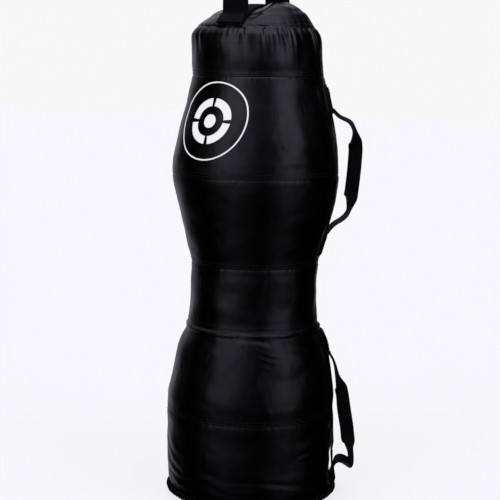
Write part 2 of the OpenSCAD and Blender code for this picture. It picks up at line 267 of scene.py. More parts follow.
def rod_faces(rows, sides):
    """Closed rings joined in a row, with one flat face at each end."""
    faces = grid_faces(rows, sides, close_c=True).tolist()
    faces.append(list(range(sides))[::-1])
    faces.append([(rows - 1) * sides + i for i in range(sides)])
    return faces


def band_faces(rows, columns):
    """Faces of a swept flat section whose second half of columns runs back inside the first."""
    faces = grid_faces(rows, columns, close_c=True).tolist()
    for base, flip in ((0, False), ((rows - 1) * columns, True)):
        for j in range(columns // 2 - 1):
            quad = [base + j, base + j + 1, base + columns - 2 - j, base + columns - 1 - j]
            faces.append(quad if flip else quad[::-1])
    return faces


def thin_sheet(top, bottom, closed=False):
    """A thin solid between two grids of points; closed joins the last column to the first."""
    rows, columns = top.shape[:2]
    total, last = rows * columns, (rows - 1) * columns
    faces = grid_faces(rows, columns, close_c=closed).tolist()
    faces += grid_faces(rows, columns, close_c=closed, base=total, flip=True).tolist()
    if closed:
        edge = [(j, (j + 1) % columns) for j in range(columns)]
        edge += [(last + (j + 1) % columns, last + j) for j in range(columns)]
    else:
        ring = list(range(columns)) + [i * columns + columns - 1 for i in range(1, rows)]
        ring += [last + j for j in range(columns - 2, -1, -1)]
        ring += [i * columns for i in range(rows - 2, 0, -1)]
        edge = list(zip(ring, ring[1:] + ring[:1]))
    faces += [[j, i, total + i, total + j] for i, j in edge]
    return np.vstack([top.reshape(-1, 3), bottom.reshape(-1, 3)]), faces


def join(parts):
    """Joins meshes into one, each turned right side out."""
    all_verts, all_faces, all_uv, total = [], [], [], 0
    for verts, faces, uv in parts:
        verts = np.asarray(verts, float).reshape(-1, 3)
        triangles = [(f[0], f[i], f[i + 1]) for f in faces for i in range(1, len(f) - 1)]
        if turned_inward(verts - verts.mean(axis=0), np.array(triangles, int)):
            faces = [list(f)[::-1] for f in faces]
        all_verts.append(verts)
        all_faces.extend([[int(i) + total for i in f] for f in faces])
        all_uv.append(uv)
        total += len(verts)
    uv = None if all_uv[0] is None else np.vstack(all_uv)
    return np.vstack(all_verts), all_faces, uv


# ------------------------------------------------------------------ sizes read from the CAD

TIERS = ["hip_lower", "hip_upper", "waist", "chest_lower", "chest_upper", "head"]
TOP_TIER = len(TIERS) - 1
tier_span, tier_profile = [], []


def read_tier(name):
    """Notes the height span of a tier and a spline of its radius over height."""
    points = np.vstack([node_points(f"{name}_{side}_panel") for side in ("front", "back")])
    reach, z = np.hypot(points[:, 0], points[:, 1]), np.round(points[:, 2], 4)
    heights = np.unique(z)
    radii = np.array([reach[z == v].max() for v in heights])
    keep = [0]
    for i in range(1, len(heights)):
        if heights[i] - heights[keep[-1]] > 0.003:
            keep.append(i)
    keep[-1] = len(heights) - 1
    tier_span.append((heights[0], heights[-1]))
    tier_profile.append(spline(heights[keep], radii[keep]))


for tier_name in TIERS:
    read_tier(tier_name)
Z_FOOT, Z_CROWN = tier_span[0][0], tier_span[-1][1]
SEAMS = [span[0] for span in tier_span[1:]]          # ring seams, low to high
EDGES = [Z_FOOT] + SEAMS + [Z_CROWN]
crown_points = node_points("crown_panel")
R_CROWN = np.hypot(crown_points[:, 0], crown_points[:, 1]).max()


def read_dome():
    """Height of the crown over radius."""
    reach, z = np.hypot(crown_points[:, 0], crown_points[:, 1]), crown_points[:, 2]
    found = set()
    bins = np.linspace(0, R_CROWN, 24)
    for low, high in zip(bins[:-1], bins[1:]):
        inside = (reach >= low) & (reach <= high)
        if inside.any():
            i = np.argmax(np.where(inside, z, -1))
            found.add((round(float(reach[i]), 5), round(float(z[i]), 5)))
    found = sorted(found)
    radii, heights = [found[0][0]], [found[0][1]]
    for radius, height in found[1:]:
        if radius - radii[-1] > 0.004:
            radii.append(radius)
            heights.append(height)
    radii[0], heights[0] = 0.0, z.max()
    if R_CROWN - radii[-1] > 0.003:
        radii.append(R_CROWN)
        heights.append(Z_CROWN)
    # two points mirrored across the axis keep the top level
    return spline([-radii[2], -radii[1]] + radii, [heights[2], heights[1]] + heights)


dome_height = read_dome()
slope_radii = np.linspace(0, R_CROWN, 200)
slope_values = np.gradient(dome_height(slope_radii), slope_radii)


def dome_slope(radius):
    return np.interp(radius, slope_radii, slope_values)


def tier_at(z):
    z = np.asarray(z, float)
    tier = np.zeros(z.shape, int)
    for i, seam in enumerate(SEAMS):
        tier = np.where(z >= seam - 1e-6, i + 1, tier)
    return tier


def base_radius(z, tier=None):
    """Radius of the plain CAD profile."""
    z = np.asarray(z, float)
    tier = tier_at(z) if tier is None else np.broadcast_to(tier, z.shape)
    out = np.zeros(z.shape)
    for i, profile in enumerate(tier_profile):
        here = tier == i
        if here.any():
            out[here] = profile(z[here])
    return out


# ------------------------------------------------------------------ cloth simulation of the cover

SIM_COLUMNS = 176
SIM_ROW_STEP = 5.6 * MM
SIM_LAST_FRAME = 22
CLOTH = dict(
    quality=5, mass=0.25, air_damping=3.0, tension_stiffness=14, compression_stiffness=14,
    shear_stiffness=6, bending_stiffness=0.35, vertex_group_mass="pin",
    vertex_group_shrink="fullness", shrink_min=0.0, shrink_max=-0.085,
    use_pressure=True, uniform_pressure_force=3.0,
)


def simulate_cover():
    """Inflates the cover as cloth with its seams held.

    Returns the row heights and the change of radius on a grid (rows, SIM_COLUMNS).
    """
    levels = [Z_FOOT]
    for low, high in zip(EDGES[:-1], EDGES[1:]):
        count = max(6, int(round((high - low) / SIM_ROW_STEP)))
        levels += list(low + (high - low) * np.arange(1, count + 1) / count)
    levels = np.array(levels)
    shape = (len(levels), SIM_COLUMNS)
    from_seam = np.min(np.abs(levels[:, None] - np.array(EDGES)[None, :]), axis=1)
    # the rest shape is slimmer between the seams, and a little uneven
    rest = base_radius(levels, np.minimum(tier_at(levels), TOP_TIER))
    rest = rest - 0.0030 * ease(from_seam, 0.0, 0.02) - 0.0006
    rng = np.random.default_rng(11)
    radius = rest[:, None] + rng.normal(0, 0.00035, shape) * (from_seam > 0.004)[:, None]
    rows = polar(radius, around(SIM_COLUMNS)[None], levels[:, None])
    verts, faces = capped_rows(rows, levels[0], levels[-1])
    total = radius.size
    mesh = bpy.data.meshes.new("sim_cover")
    mesh.from_pydata([tuple(p) for p in verts], [], faces)
    cover = bpy.data.objects.new("sim_cover", mesh)
    COLLECTION.objects.link(cover)
    row = np.repeat(np.arange(len(levels)), SIM_COLUMNS)
    held = [int(i) for i in np.nonzero(from_seam[row] < 1e-6)[0]] + [total, total + 1]
    cover.vertex_groups.new(name="pin").add(held, 1.0, "REPLACE")
    fullness = cover.vertex_groups.new(name="fullness")
    near_crown = np.exp(-np.abs(levels - Z_CROWN) / 0.030)
    weights = np.clip(0.10 + 0.9 * near_crown + 0.16 * np.exp(-from_seam / 0.010), 0, 1)
    for i, weight in enumerate(weights):
        members = range(i * SIM_COLUMNS, (i + 1) * SIM_COLUMNS)
        fullness.add([int(j) for j in members], float(weight), "REPLACE")
    cloth = cover.modifiers.new("cloth", "CLOTH")
    for key, value in CLOTH.items():
        setattr(cloth.settings, key, value)
    cloth.settings.effector_weights.gravity = 0.0
    cloth.collision_settings.use_collision = False
    cloth.collision_settings.use_self_collision = False
    cloth.point_cache.frame_start, cloth.point_cache.frame_end = 1, 24
    scene = bpy.context.scene
    for frame in range(1, SIM_LAST_FRAME + 1):
        scene.frame_set(frame)
    settled = cover.evaluated_get(bpy.context.evaluated_depsgraph_get())
    points = mesh_points(settled.data)[:total]
    bpy.data.objects.remove(cover)
    scene.frame_set(1)
    change = np.hypot(points[:, 0], points[:, 1]).reshape(shape) - radius
    change = np.clip(change, -0.008, 0.012)
    change -= change.mean(axis=1, keepdims=True)
    return levels, np.clip(change, -0.004, 0.004)


sim_levels, sim_change = simulate_cover()


def cubic_weights(t):
    return [-0.5 * t + t * t - 0.5 * t**3, 1 - 2.5 * t * t + 1.5 * t**3,
            0.5 * t + 2 * t * t - 1.5 * t**3, -0.5 * t * t + 0.5 * t**3]


def sim_field(angle, z):
    """Samples the simulated grid with smooth cubic weights."""
    angle, z = np.broadcast_arrays(np.asarray(angle, float), np.asarray(z, float))
    column = (angle % (2 * PI)) / (2 * PI) * SIM_COLUMNS
    i = np.floor(column).astype(int)
    row = np.interp(z, sim_levels, np.arange(len(sim_levels)))
    j = np.clip(np.floor(row).astype(int), 0, len(sim_levels) - 2)
    across, up = cubic_weights(column - i), cubic_weights(row - j)
    out = np.zeros(angle.shape)
    for q in range(4):
        near_row = np.clip(j + q - 1, 0, len(sim_levels) - 1)
        for p in range(4):
            out += up[q] * across[p] * sim_change[near_row, (i + p - 1) % SIM_COLUMNS]
    return out


# ------------------------------------------------------------------ folds and creases

lump_big = random_field(3, 0.16, stretch=0.8)
lump_mid = random_field(5, 0.060)
lump_small = random_field(9, 0.022)

# A fold is (azimuth, width, length, depth, slant, ridge on the +azimuth side, on the other).


def fold_set(seed, spacing, jitter, width, length, depth, slant):
    """Random folds all round the bag; the ranges are in mm."""
    rng = np.random.default_rng(seed)
    angle, out = 0.0, []
    while angle < 2 * PI:
        out.append((angle, rng.uniform(*width) * MM, rng.uniform(*length) * MM,
                    rng.uniform(*depth) * MM, rng.normal(0, slant),
                    rng.uniform(0.3, 0.9), rng.uniform(0.1, 0.7)))
        angle += spacing * MM / 0.13 * rng.uniform(1 - jitter, 1 + jitter)
    return out


def gathers(rows, seed, length_scale=1.0, depth_scale=1.0, spacing=19):
    """The placed gathers on the viewer's side, then random ones round the rest."""
    rng = np.random.default_rng(seed)
    out = []
    for view, width, length, depth, slant in rows:
        out.append((math.radians(view) + VIEW, width * MM, length * MM * length_scale,
                    depth * MM * depth_scale, slant,
                    rng.uniform(0.4, 0.9), rng.uniform(0.2, 0.7)))
    angle = math.radians(86) + VIEW
    while angle < 2 * PI + VIEW - math.radians(80):
        out.append((angle, rng.uniform(1.8, 4.6) * MM, rng.uniform(12, 42) * MM * length_scale,
                    rng.uniform(0.7, 1.9) * MM * depth_scale, rng.normal(0, 0.08),
                    rng.uniform(0.3, 0.9), rng.uniform(0.2, 0.7)))
        angle += spacing * MM / 0.12 * rng.uniform(0.45, 1.6)
    return out


def apply_folds(angle, away, radius, folds, bite=0.002):
    """Narrow valleys with soft ridges beside them that run away from a seam.

    away is the distance from the seam, and bite is where a fold reaches its full depth.
    """
    out = np.zeros(np.broadcast(angle, away).shape)
    for centre, width, length, depth, slant, ridge_plus, ridge_minus in folds:
        side = wrap(angle - centre) * radius - slant * away
        near = np.abs(side) < 6 * width + 0.004
        if not near.any():
            continue
        spread = width * (1 + away / (2.2 * length))
        amount = depth * np.exp(-((away / length) ** 1.6)) * ease(away, -0.001, bite)
        profile = (-bell(side, spread)
                   + ridge_plus * bell(side - 1.9 * spread, 1.1 * spread)
                   + ridge_minus * bell(side + 1.9 * spread, 1.1 * spread))
        out += np.where(near, amount * profile, 0)
    return out


# gathers under the crown: degrees from the viewer's azimuth, width, length, depth (mm), slant
HEAD_GATHERS = [
    (-74, 4.0, 30, 1.7, 0.10), (-63, 4.6, 34, 1.8, 0.10), (-51, 6.0, 26, 1.0, -0.10),
    (-41, 4.5, 20, 0.8, 0.0), (-28, 2.6, 17, 1.0, 0.10), (-22.5, 2.2, 13, 0.8, 0.0),
    (-17.5, 2.3, 16, 1.0, -0.05), (-12.5, 3.4, 26, 2.0, 0.05), (-8, 2.0, 13, 0.8, 0.0),
    (-1, 2.5, 12, 0.6, 0.0), (7.4, 3.6, 33, 2.6, 0.05), (12.0, 2.3, 28, 1.8, 0.10),
    (15.5, 2.0, 12, 0.8, 0.05), (19.6, 2.8, 36, 1.9, 0.16), (25, 2.4, 16, 0.7, 0.0),
    (28.8, 1.6, 15, 1.6, 0.0), (31.6, 2.2, 32, 1.3, 0.12), (40, 3.6, 28, 1.0, 0.10),
    (47.5, 3.0, 22, 0.9, 0.0), (57, 3.2, 50, 2.8, 0.14), (64, 2.8, 60, 2.8, 0.12),
    (71, 2.4, 44, 2.1, 0.10), (79, 3.6, 32, 1.6, 0.05),
]
# gathers on the dome, same columns
DOME_GATHERS = [
    (-70, 3.5, 16, 0.7, 0.1), (-52, 4, 14, 0.6, 0), (-30, 2.6, 10, 0.6, 0),
    (-9, 2.4, 10, 0.7, 0), (5.5, 4.4, 26, 1.6, 0.45), (9.5, 4.0, 24, 1.4, -0.5),
    (20, 2.6, 12, 0.8, 0), (30, 2.4, 14, 0.9, 0.1), (44, 3.4, 22, 0.9, 0.1),
    (56, 3.4, 52, 1.9, 0.15), (63, 2.8, 60, 1.7, 0.12), (71, 2.8, 36, 1.2, 0.1),
    (80, 3.6, 22, 0.8, 0),
]
head_folds = gathers(HEAD_GATHERS, seed=21)
dome_folds = gathers(DOME_GATHERS, seed=22, length_scale=0.7, depth_scale=0.8, spacing=24)
below_folds = [fold_set(40 + i, spacing=13, jitter=0.55, width=(1.6, 3.6), length=(5, 15),
                        depth=(0.07, 0.34), slant=0.25) for i in range(5)]
above_folds = [fold_set(60 + i, spacing=17, jitter=0.6, width=(1.6, 3.2), length=(6, 14),
                        depth=(0.04, 0.20), slant=0.25) for i in range(5)]
foot_folds = fold_set(90, spacing=15, jitter=0.55, width=(2.0, 4.0), length=(6, 18),
                      depth=(0.2, 0.8), slant=0.25)
# the fullness just below each ring seam: height and width, mm
FULLNESS = [(0.30, 10), (0.2, 8), (0.16, 9), (0.14, 9), (0.15, 9)]

# creases: degrees from the viewer's azimuth and height (mm) at the start and at the end,
# width (mm), depth (mm), ridge side (+1 above, -1 below)
CREASES = [
    (-7, 305.5, 20, 283.5, 2.6, 0.75, 1), (-2, 291.5, 15, 273.5, 2.2, 0.5, 1),
    (5, 274.5, 13, 270, 1.8, 0.5, -1), (-14, 318, 12, 312, 4.0, 0.8, -1),
    (-34, 300, -12, 295, 7, 0.5, 1), (-48, 296, -30, 284, 7, 0.7, 1),
    (24, 300, 44, 290, 6, 0.5, -1), (18, 240, 40, 250, 9, 0.5, 1),
    (-42, 236, -20, 228, 10, 0.5, -1), (-33, 196, -6, 189, 8, 0.4, 1),
    (26, 202, 48, 196, 8, 0.4, -1), (37, 106.5, 66, 108, 4.0, 1.7, -1),
    (38, 118, 64, 143, 8.5, -1.1, 1), (60, 126, 84, 150, 7, 0.8, 1),
    (24, 92, 52, 90, 8, 0.6, -1), (-12, 62, 50, 36, 4.4, 1.2, -1),
    (22, 78, 62, 68, 8, 0.6, -1), (-20, 40, 10, 37, 4.5, 0.9, 1),
    (50, 50, 80, 60, 6, 0.9, 1), (-78, 53, -37, 50, 5.5, 1.2, 1),
    (-80, 88, -52, 60, 6, 1.0, 1), (-84, 124, -58, 88, 8, 0.8, 1),
    (-70, 38, -38, 27, 4.5, 1.0, 1), (-40, 70, -20, 66, 7, 0.6, -1),
    (-24, 560, 8, 552, 12, 0.4, 1), (14, 536, 44, 545, 12, 0.4, -1),
    (-50, 520, -26, 500, 10, 0.6, 1), (36, 470, 62, 488, 6, 1.0, 1),
    (-62, 470, -38, 462, 8, 0.6, -1), (-16, 474, 12, 468, 9, 0.4, 1),
    (-20, 404, 14, 398, 12, 0.4, 1), (24, 372, 52, 380, 10, 0.4, -1),
    (-50, 362, -22, 352, 10, 0.5, 1), (30, 650, 60, 662, 12, 0.4, 1),
    (-60, 640, -36, 628, 10, 0.5, -1), (0, 742, 30, 748, 10, 0.35, 1),
    # the back and the -X side
    (110, 300, 150, 286, 7, 1.1, 1), (160, 268, 196, 280, 6, 1.0, -1),
    (205, 296, 240, 280, 7, 1.0, 1), (130, 210, 170, 220, 9, 0.8, 1),
    (190, 200, 226, 190, 9, 0.8, -1), (118, 116, 160, 108, 8, 1.2, 1),
    (150, 58, 200, 66, 7, 1.4, -1), (196, 112, 236, 92, 8, 1.3, 1),
    (224, 60, 262, 48, 7, 1.2, 1), (170, 130, 210, 138, 10, 0.8, 1),
    (120, 520, 156, 536, 10, 0.8, 1), (176, 556, 214, 544, 10, 0.7, -1),
    (200, 486, 240, 500, 9, 0.8, 1), (140, 478, 168, 468, 8, 0.7, -1),
    (120, 390, 160, 384, 10, 0.6, 1), (190, 366, 226, 376, 10, 0.6, -1),
    (130, 650, 168, 664, 10, 0.7, 1), (190, 740, 222, 728, 9, 0.7, -1),
    (150, 726, 178, 738, 9, 0.6, 1), (206, 640, 240, 650, 10, 0.6, 1),
]


def creases(angle, z):
    out = np.zeros(np.broadcast(angle, z).shape)
    for view1, mm1, view2, mm2, width, depth, side in CREASES:
        angle1, angle2 = math.radians(view1) + VIEW, math.radians(view2) + VIEW
        start_z, width = mm1 * MM, width * MM
        run, rise = (angle2 - angle1) * 0.14, mm2 * MM - start_z
        length = math.hypot(run, rise)
        x = wrap(angle - (angle1 + angle2) / 2) * 0.14 + run / 2
        y = z - start_z
        along = (x * run + y * rise) / length
        share = along / length
        across = (-x * rise + y * run) / length
        across = across + 0.10 * width * np.sin(along / 0.016 + angle1 * 9)
        # the crease bows away from its ridge
        across = across + 0.20 * length * share * (1 - share) * side
        ends = ease(share, -0.35, 0.25) * (1 - ease(share, 0.75, 1.35))
        profile = (-bell(across, width) + 0.75 * bell(across - side * 1.7 * width, 1.2 * width)
                   + 0.2 * bell(across + side * 1.9 * width, 1.3 * width))
        out += depth * MM * ends * profile
    return out


# ------------------------------------------------------------------ shape of the cover

# how the filled bag leans and bulges, mm:
# height, then the change of radius at the viewer's left and right
LEAN = np.array([
    (0, 0.2, 0.4), (17, 0.2, 0.4), (37, -0.8, -1.0), (67, -0.6, -3.0), (96, 1.0, -3.6),
    (126, 2.6, -5.8), (151, 3.5, -6.6), (184, 3.6, -6.4), (213, 0.6, -4.4), (243, 0.2, -3.2),
    (272, 0.0, -1.2), (301, -1.2, -2.6), (318, -0.6, -2.0), (332, 2.6, 0.8), (358, 2.6, 0.8),
    (387, 0.9, 1.6), (415, -0.8, 1.2), (436, -2.2, 2.4), (463, -1.6, 1.6), (491, -2.6, 2.4),
    (519, -4.8, 3.4), (547, -4.6, 3.7), (575, -3.4, 3.3), (605, -0.4, 2.2), (622, -0.4, 1.4),
    (650, -1.8, 2.2), (687, -2.8, 4.2), (714, -4.0, 4.2), (742, -4.7, 4.6), (760, -4.8, 5.0),
    (784, -4.3, 4.6), (797, -2.9, 3.4), (815, -2.2, 1.2), (833, -1.2, 0.2), (851, -0.2, -1.2),
    (862, 0.6, -1.6), (874, 0.6, -1.2), (900, 0.6, -1.2),
]) * MM
lean_left = spline(LEAN[:, 0], LEAN[:, 1])
lean_right = spline(LEAN[:, 0], LEAN[:, 2])
# the ridge along the side seams: height up the bag, height of the ridge, mm
SIDE_RIDGE = np.array([
    (0, 0.8), (40, 1.2), (110, 0.9), (200, 1.0), (270, 2.4), (320, 2.2), (345, 1.2),
    (400, 1.3), (440, 1.0), (480, 2.0), (540, 0.9), (600, 0.7), (680, 2.0), (740, 3.2),
    (784, 2.6), (800, 1.2), (874, 1.4),
]) * MM
side_ridge = spline(SIDE_RIDGE[:, 0], SIDE_RIDGE[:, 1])

HANDLE_ANGLE = math.radians(120)
LAP = 5.2 * MM          # how far the front half laps over the back half at each side seam
LAP_ROWS = (LAP - 3.0 * MM, LAP - 9.5 * MM)      # its two rows of stitches
HEM_ROWS = (2.2 * MM, 7.8 * MM)                  # stitch rows above each ring seam
CROWN_ROW = 5.5 * MM                             # stitch row inside the crown's rim
THICK = 1.2 * MM


def lean(angle, z):
    side = np.sin(angle - VIEW)
    return (lean_right(z) * np.maximum(side, 0) ** 1.4
            + lean_left(z) * np.maximum(-side, 0) ** 1.4)


def side_dent(angle, z):
    """Where the lower handle's strip stands off the bag, the filling has settled away."""
    near = (bell(wrap(angle - HANDLE_ANGLE + 0.07) * 0.158, 0.052)
            + bell(wrap(angle + HANDLE_ANGLE - 0.07) * 0.158, 0.052))
    return -0.0096 * near * ease(z, 0.018, 0.036) * (1 - ease(z, 0.082, 0.108))


def turn_in(away, reach):
    """1 at a seam, fading over the reach."""
    return np.exp(-((np.maximum(away, 0) / reach) ** 1.5))


def past_side(angle, radius):
    """Arc distance past the side line; positive on the back half."""
    return (np.abs(wrap(angle)) - PI / 2) * radius


def cover_lift(angle, z, tier):
    """How far the cover's outer surface stands from the CAD profile."""
    angle, z = np.broadcast_arrays(np.asarray(angle, float), np.asarray(z, float))
    tier = np.broadcast_to(tier, z.shape)
    edges = np.array(EDGES)
    above, below = z - edges[tier], edges[tier + 1] - z     # from the seams at each end
    nearest = np.minimum(above, below)
    radius = base_radius(z, tier)
    out = (0.9 * MM * lump_big(angle, z) + 0.34 * MM * lump_mid(angle, z)
           + 0.035 * MM * lump_small(angle, z))
    calm = ease(nearest, 0.002, 0.030)
    out = out * (0.25 + 0.75 * calm) + 1.15 * sim_field(angle, z)
    # above each ring seam the hem is stitched flat, in two rows
    hem = (-0.0004 * (1 - ease(above, 0.0085, 0.030))
           - 0.00014 * bell(above - HEM_ROWS[0], 0.0008)
           - 0.00005 * bell(above - HEM_ROWS[1], 0.0008) + 0.00006 * bell(above - 0.0115, 0.003))
    # the foot hem is pulled in, with a swelling over it
    foot = -0.0016 * (1 - ease(above, 0.001, 0.016)) + 0.0008 * bell(above - 0.020, 0.010)
    out += np.where(tier > 0, hem, foot)
    # below each seam the cloth turns in under the hem
    tuck = np.where(tier == 1, 0.0010, 0.0017)
    out += np.where(tier < TOP_TIER, -tuck * turn_in(below, 0.0026), 0)
    # the top of the hips is squeezed into a roll under the waist seam
    roll = 0.0027 * bell(below - 0.0058, 0.0046) - 0.0011 * bell(below - 0.0175, 0.0065)
    out += np.where(tier == 1, roll * (1 + 0.25 * lump_mid(angle, 0 * z + 0.9)), 0)
    for i, (height, width) in enumerate(FULLNESS):
        here = tier == i
        if here.any():
            uneven = 1 + 0.35 * lump_mid(angle, z * 0.0 + 0.3 * i)
            out += np.where(here, height * MM * bell(below - 0.0125, width * MM) * uneven, 0)
            folds = apply_folds(angle, below, radius, below_folds[i])
            out += np.where(here & (below < 0.045), folds, 0)
        here = tier == i + 1
        if here.any():
            folds = apply_folds(angle, above, radius, above_folds[i], bite=0.008)
            out += np.where(here & (above < 0.045), folds, 0)
    here = (tier == 0) & (above < 0.05)
    if here.any():
        out += np.where(here, apply_folds(angle, above, radius, foot_folds), 0)
    here = tier == TOP_TIER
    if here.any():
        rim = -0.0018 * turn_in(below, 0.004) + 0.0010 * bell(below - 0.016, 0.012)
        out += np.where(here, rim + apply_folds(angle, below, radius, head_folds), 0)
    out += creases(angle, z) * ease(nearest, 0.0, 0.012)
    # the laps run up both sides
    side = past_side(angle, radius)
    ridge = side_ridge(z) * (0.3 + 0.7 * calm)
    out += ridge * np.where(side < 0.001, bell(side - 0.001, 0.013), bell(side - 0.001, 0.0105))
    out += -0.35 * ridge * bell(side - 0.030, 0.012)
    out += side_dent(angle, z)
    return np.clip(out, -0.0125, 0.0065) + lean(angle, z)


def lap_lift(angle, radius, front):
    """The front half rises over the lap and dips at its stitches; the back half sinks."""
    side = past_side(angle, radius)
    if not front:
        return -0.0005 * (1 - ease(side, 0.006, 0.012))
    dips = bell(side - LAP_ROWS[0], 0.0008) + bell(side - LAP_ROWS[1], 0.0008)
    return 0.00085 * ease(side, -0.016, -0.007) - 0.0003 * dips


def surface_radius(angle, z):
    """Radius of the visible outer surface."""
    angle, z = np.broadcast_arrays(np.asarray(angle, float), np.asarray(z, float))
    z = np.clip(z, Z_FOOT, Z_CROWN - 1e-5)
    tier = tier_at(z)
    radius = base_radius(z, tier)
    lap = np.where(past_side(angle, radius) < LAP,
                   lap_lift(angle, radius, True), lap_lift(angle, radius, False))
    return radius + cover_lift(angle, z, tier) + lap


def surface(angle, z, off=0.0):
    """Points on the visible surface, moved outwards along its normal, and the normals."""
    angle, z = np.broadcast_arrays(np.asarray(angle, float), np.asarray(z, float))
    step = 0.6 * MM

    def point(at_angle, at_z):
        return polar(surface_radius(at_angle, at_z), at_angle, at_z)

    across = point(angle + step / 0.14, z) - point(angle - step / 0.14, z)
    up = point(angle, z + step) - point(angle, z - step)
    normal = unit(np.cross(across, up))
    return point(angle, z) + normal * off, normal


# ------------------------------------------------------------------ materials


def rgba(value):
    """A colour from a grey, three or four channels; sockets pass through."""
    if isinstance(value, bpy.types.NodeSocket):
        return value
    if isinstance(value, (int, float)):
        return (value, value, value, 1)
    return value if len(value) == 4 else (*value, 1)


class Graph:
    """Wires the nodes of a material or a world."""

    def __init__(self, tree):
        self.tree = tree

    def set(self, socket, value):
        if isinstance(value, bpy.types.NodeSocket):
            self.tree.links.new(value, socket)
        else:
            socket.default_value = value

    def node(self, kind, inputs=None, **settings):
        node = self.tree.nodes.new(kind)
        for key, value in settings.items():
            setattr(node, key, value)
        for key, value in (inputs or {}).items():
            self.set(node.inputs[key], value)
        return node

    def drive(self, **inputs):
        """Sets inputs of the surface shader; underscores stand for spaces."""
        shader = self.tree.nodes["Principled BSDF"]
        for key, value in inputs.items():
            self.set(shader.inputs[key.replace("_", " ")], value)

    def coords(self, output="Object"):
        return self.node("ShaderNodeTexCoord").outputs[output]

    def separate(self, vector):
        return self.node("ShaderNodeSeparateXYZ", {0: vector}).outputs

    def math(self, operation, *values):
        inputs = dict(enumerate(values))
        return self.node("ShaderNodeMath", inputs, operation=operation).outputs[0]

    def multiply(self, first, second):
        return self.math("MULTIPLY", first, second)

    def add(self, first, second):
        return self.math("ADD", first, second)

    def ramp(self, value, stops):
        """Colours at positions from 0 to 1."""
        node = self.node("ShaderNodeValToRGB", {0: value})
        elements = node.color_ramp.elements
        while len(elements) < len(stops):
            elements.new(0.5)
        for element, (position, colour) in zip(elements, stops):
            element.position = position
            element.color = rgba(colour)
        return node.outputs[0]

    def noise(self, vector, scale, detail=3, rough=0.55, distortion=0.0):
        return self.node("ShaderNodeTexNoise", {
            "Scale": scale, "Detail": detail, "Roughness": rough,
            "Distortion": distortion, "Vector": vector}).outputs["Fac"]

    def bump(self, height, distance, strength, normal=None):
        inputs = {"Strength": strength, "Distance": distance, "Height": height}
        if normal is not None:
            inputs["Normal"] = normal
        return self.node("ShaderNodeBump", inputs).outputs["Normal"]

    def map_range(self, value, source, target, **settings):
        inputs = dict(enumerate([value, *source, *target]))
        return self.node("ShaderNodeMapRange", inputs, **settings).outputs[0]

    def mix(self, factor, first, second):
        inputs = {0: factor, 6: rgba(first), 7: rgba(second)}
        return self.node("ShaderNodeMix", inputs, data_type="RGBA").outputs[2]


def new_material(name):
    material = bpy.data.materials.new(name)
    material.use_nodes = True
    return material, Graph(material.node_tree)


# painted reflection over height (m): the cover reflects less near the floor and more towards the
# head, standing in for light that falls from above
PAINTED_SHINE_BY_HEIGHT = [(0.02, 0.24), (0.10, 0.22), (0.17, 0.26), (0.25, 0.36), (0.32, 0.42),
         (0.46, 0.40), (0.60, 0.48), (0.80, 0.66), (0.92, 0.85)]


def vinyl_material(name, tint=1.0, rough=0.265):
    """Glossy black coated cloth: fine pebble grain, dust and rub marks, and a reflection painted
    stronger towards the head.
    """
    material, graph = new_material(name)
    coords = graph.coords()
    big = graph.noise(coords, scale=7, detail=3)
    mid = graph.noise(coords, scale=42, detail=4, rough=0.6)
    fine = graph.noise(coords, scale=420, detail=3, rough=0.6)
    cells = graph.node("ShaderNodeTexVoronoi", {"Scale": 640, "Vector": coords},
                       feature="DISTANCE_TO_EDGE")
    pebble = graph.map_range(cells.outputs["Distance"], (0.0, 0.32), (0.0, 1.0))
    # near black, a little bluer and greyer where it is rubbed
    rub = graph.ramp(mid, [(0.52, 0), (0.74, 1)])
    dust = graph.ramp(graph.noise(coords, scale=160, detail=5, rough=0.7),
                      [(0.60, 0), (0.78, 1)])
    colour = graph.mix(big, (0.0007 * tint, 0.0007 * tint, 0.0010 * tint),
                       (0.0014 * tint, 0.0014 * tint, 0.0019 * tint))
    colour = graph.mix(graph.multiply(rub, 0.16), colour, (0.006, 0.006, 0.0072))
    colour = graph.mix(graph.multiply(dust, 0.08), colour, (0.016, 0.016, 0.018))
    roughness = graph.map_range(big, (0.3, 0.7), (rough - 0.035, rough + 0.045))
    roughness = graph.add(roughness, graph.multiply(rub, 0.05))
    roughness = graph.add(roughness, graph.map_range(fine, (0.3, 0.7), (-0.03, 0.03)))
    height = graph.separate(coords)[2]
    # painted reflection: stronger towards the head, where more light falls
    painted_shine = graph.ramp(graph.map_range(height, (0.0, 1.0), (0.0, 1.0)), PAINTED_SHINE_BY_HEIGHT)
    painted_shine = graph.multiply(painted_shine, graph.map_range(mid, (0.3, 0.7), (0.92, 1.08)))
    normal = graph.bump(pebble, distance=0.00006, strength=0.55)
    normal = graph.bump(fine, distance=0.00010, strength=0.35, normal=normal)
    normal = graph.bump(mid, distance=0.0010, strength=0.05, normal=normal)
    graph.drive(Base_Color=colour, Roughness=roughness, IOR=1.5, Specular_IOR_Level=painted_shine,
                Normal=normal)
    return material


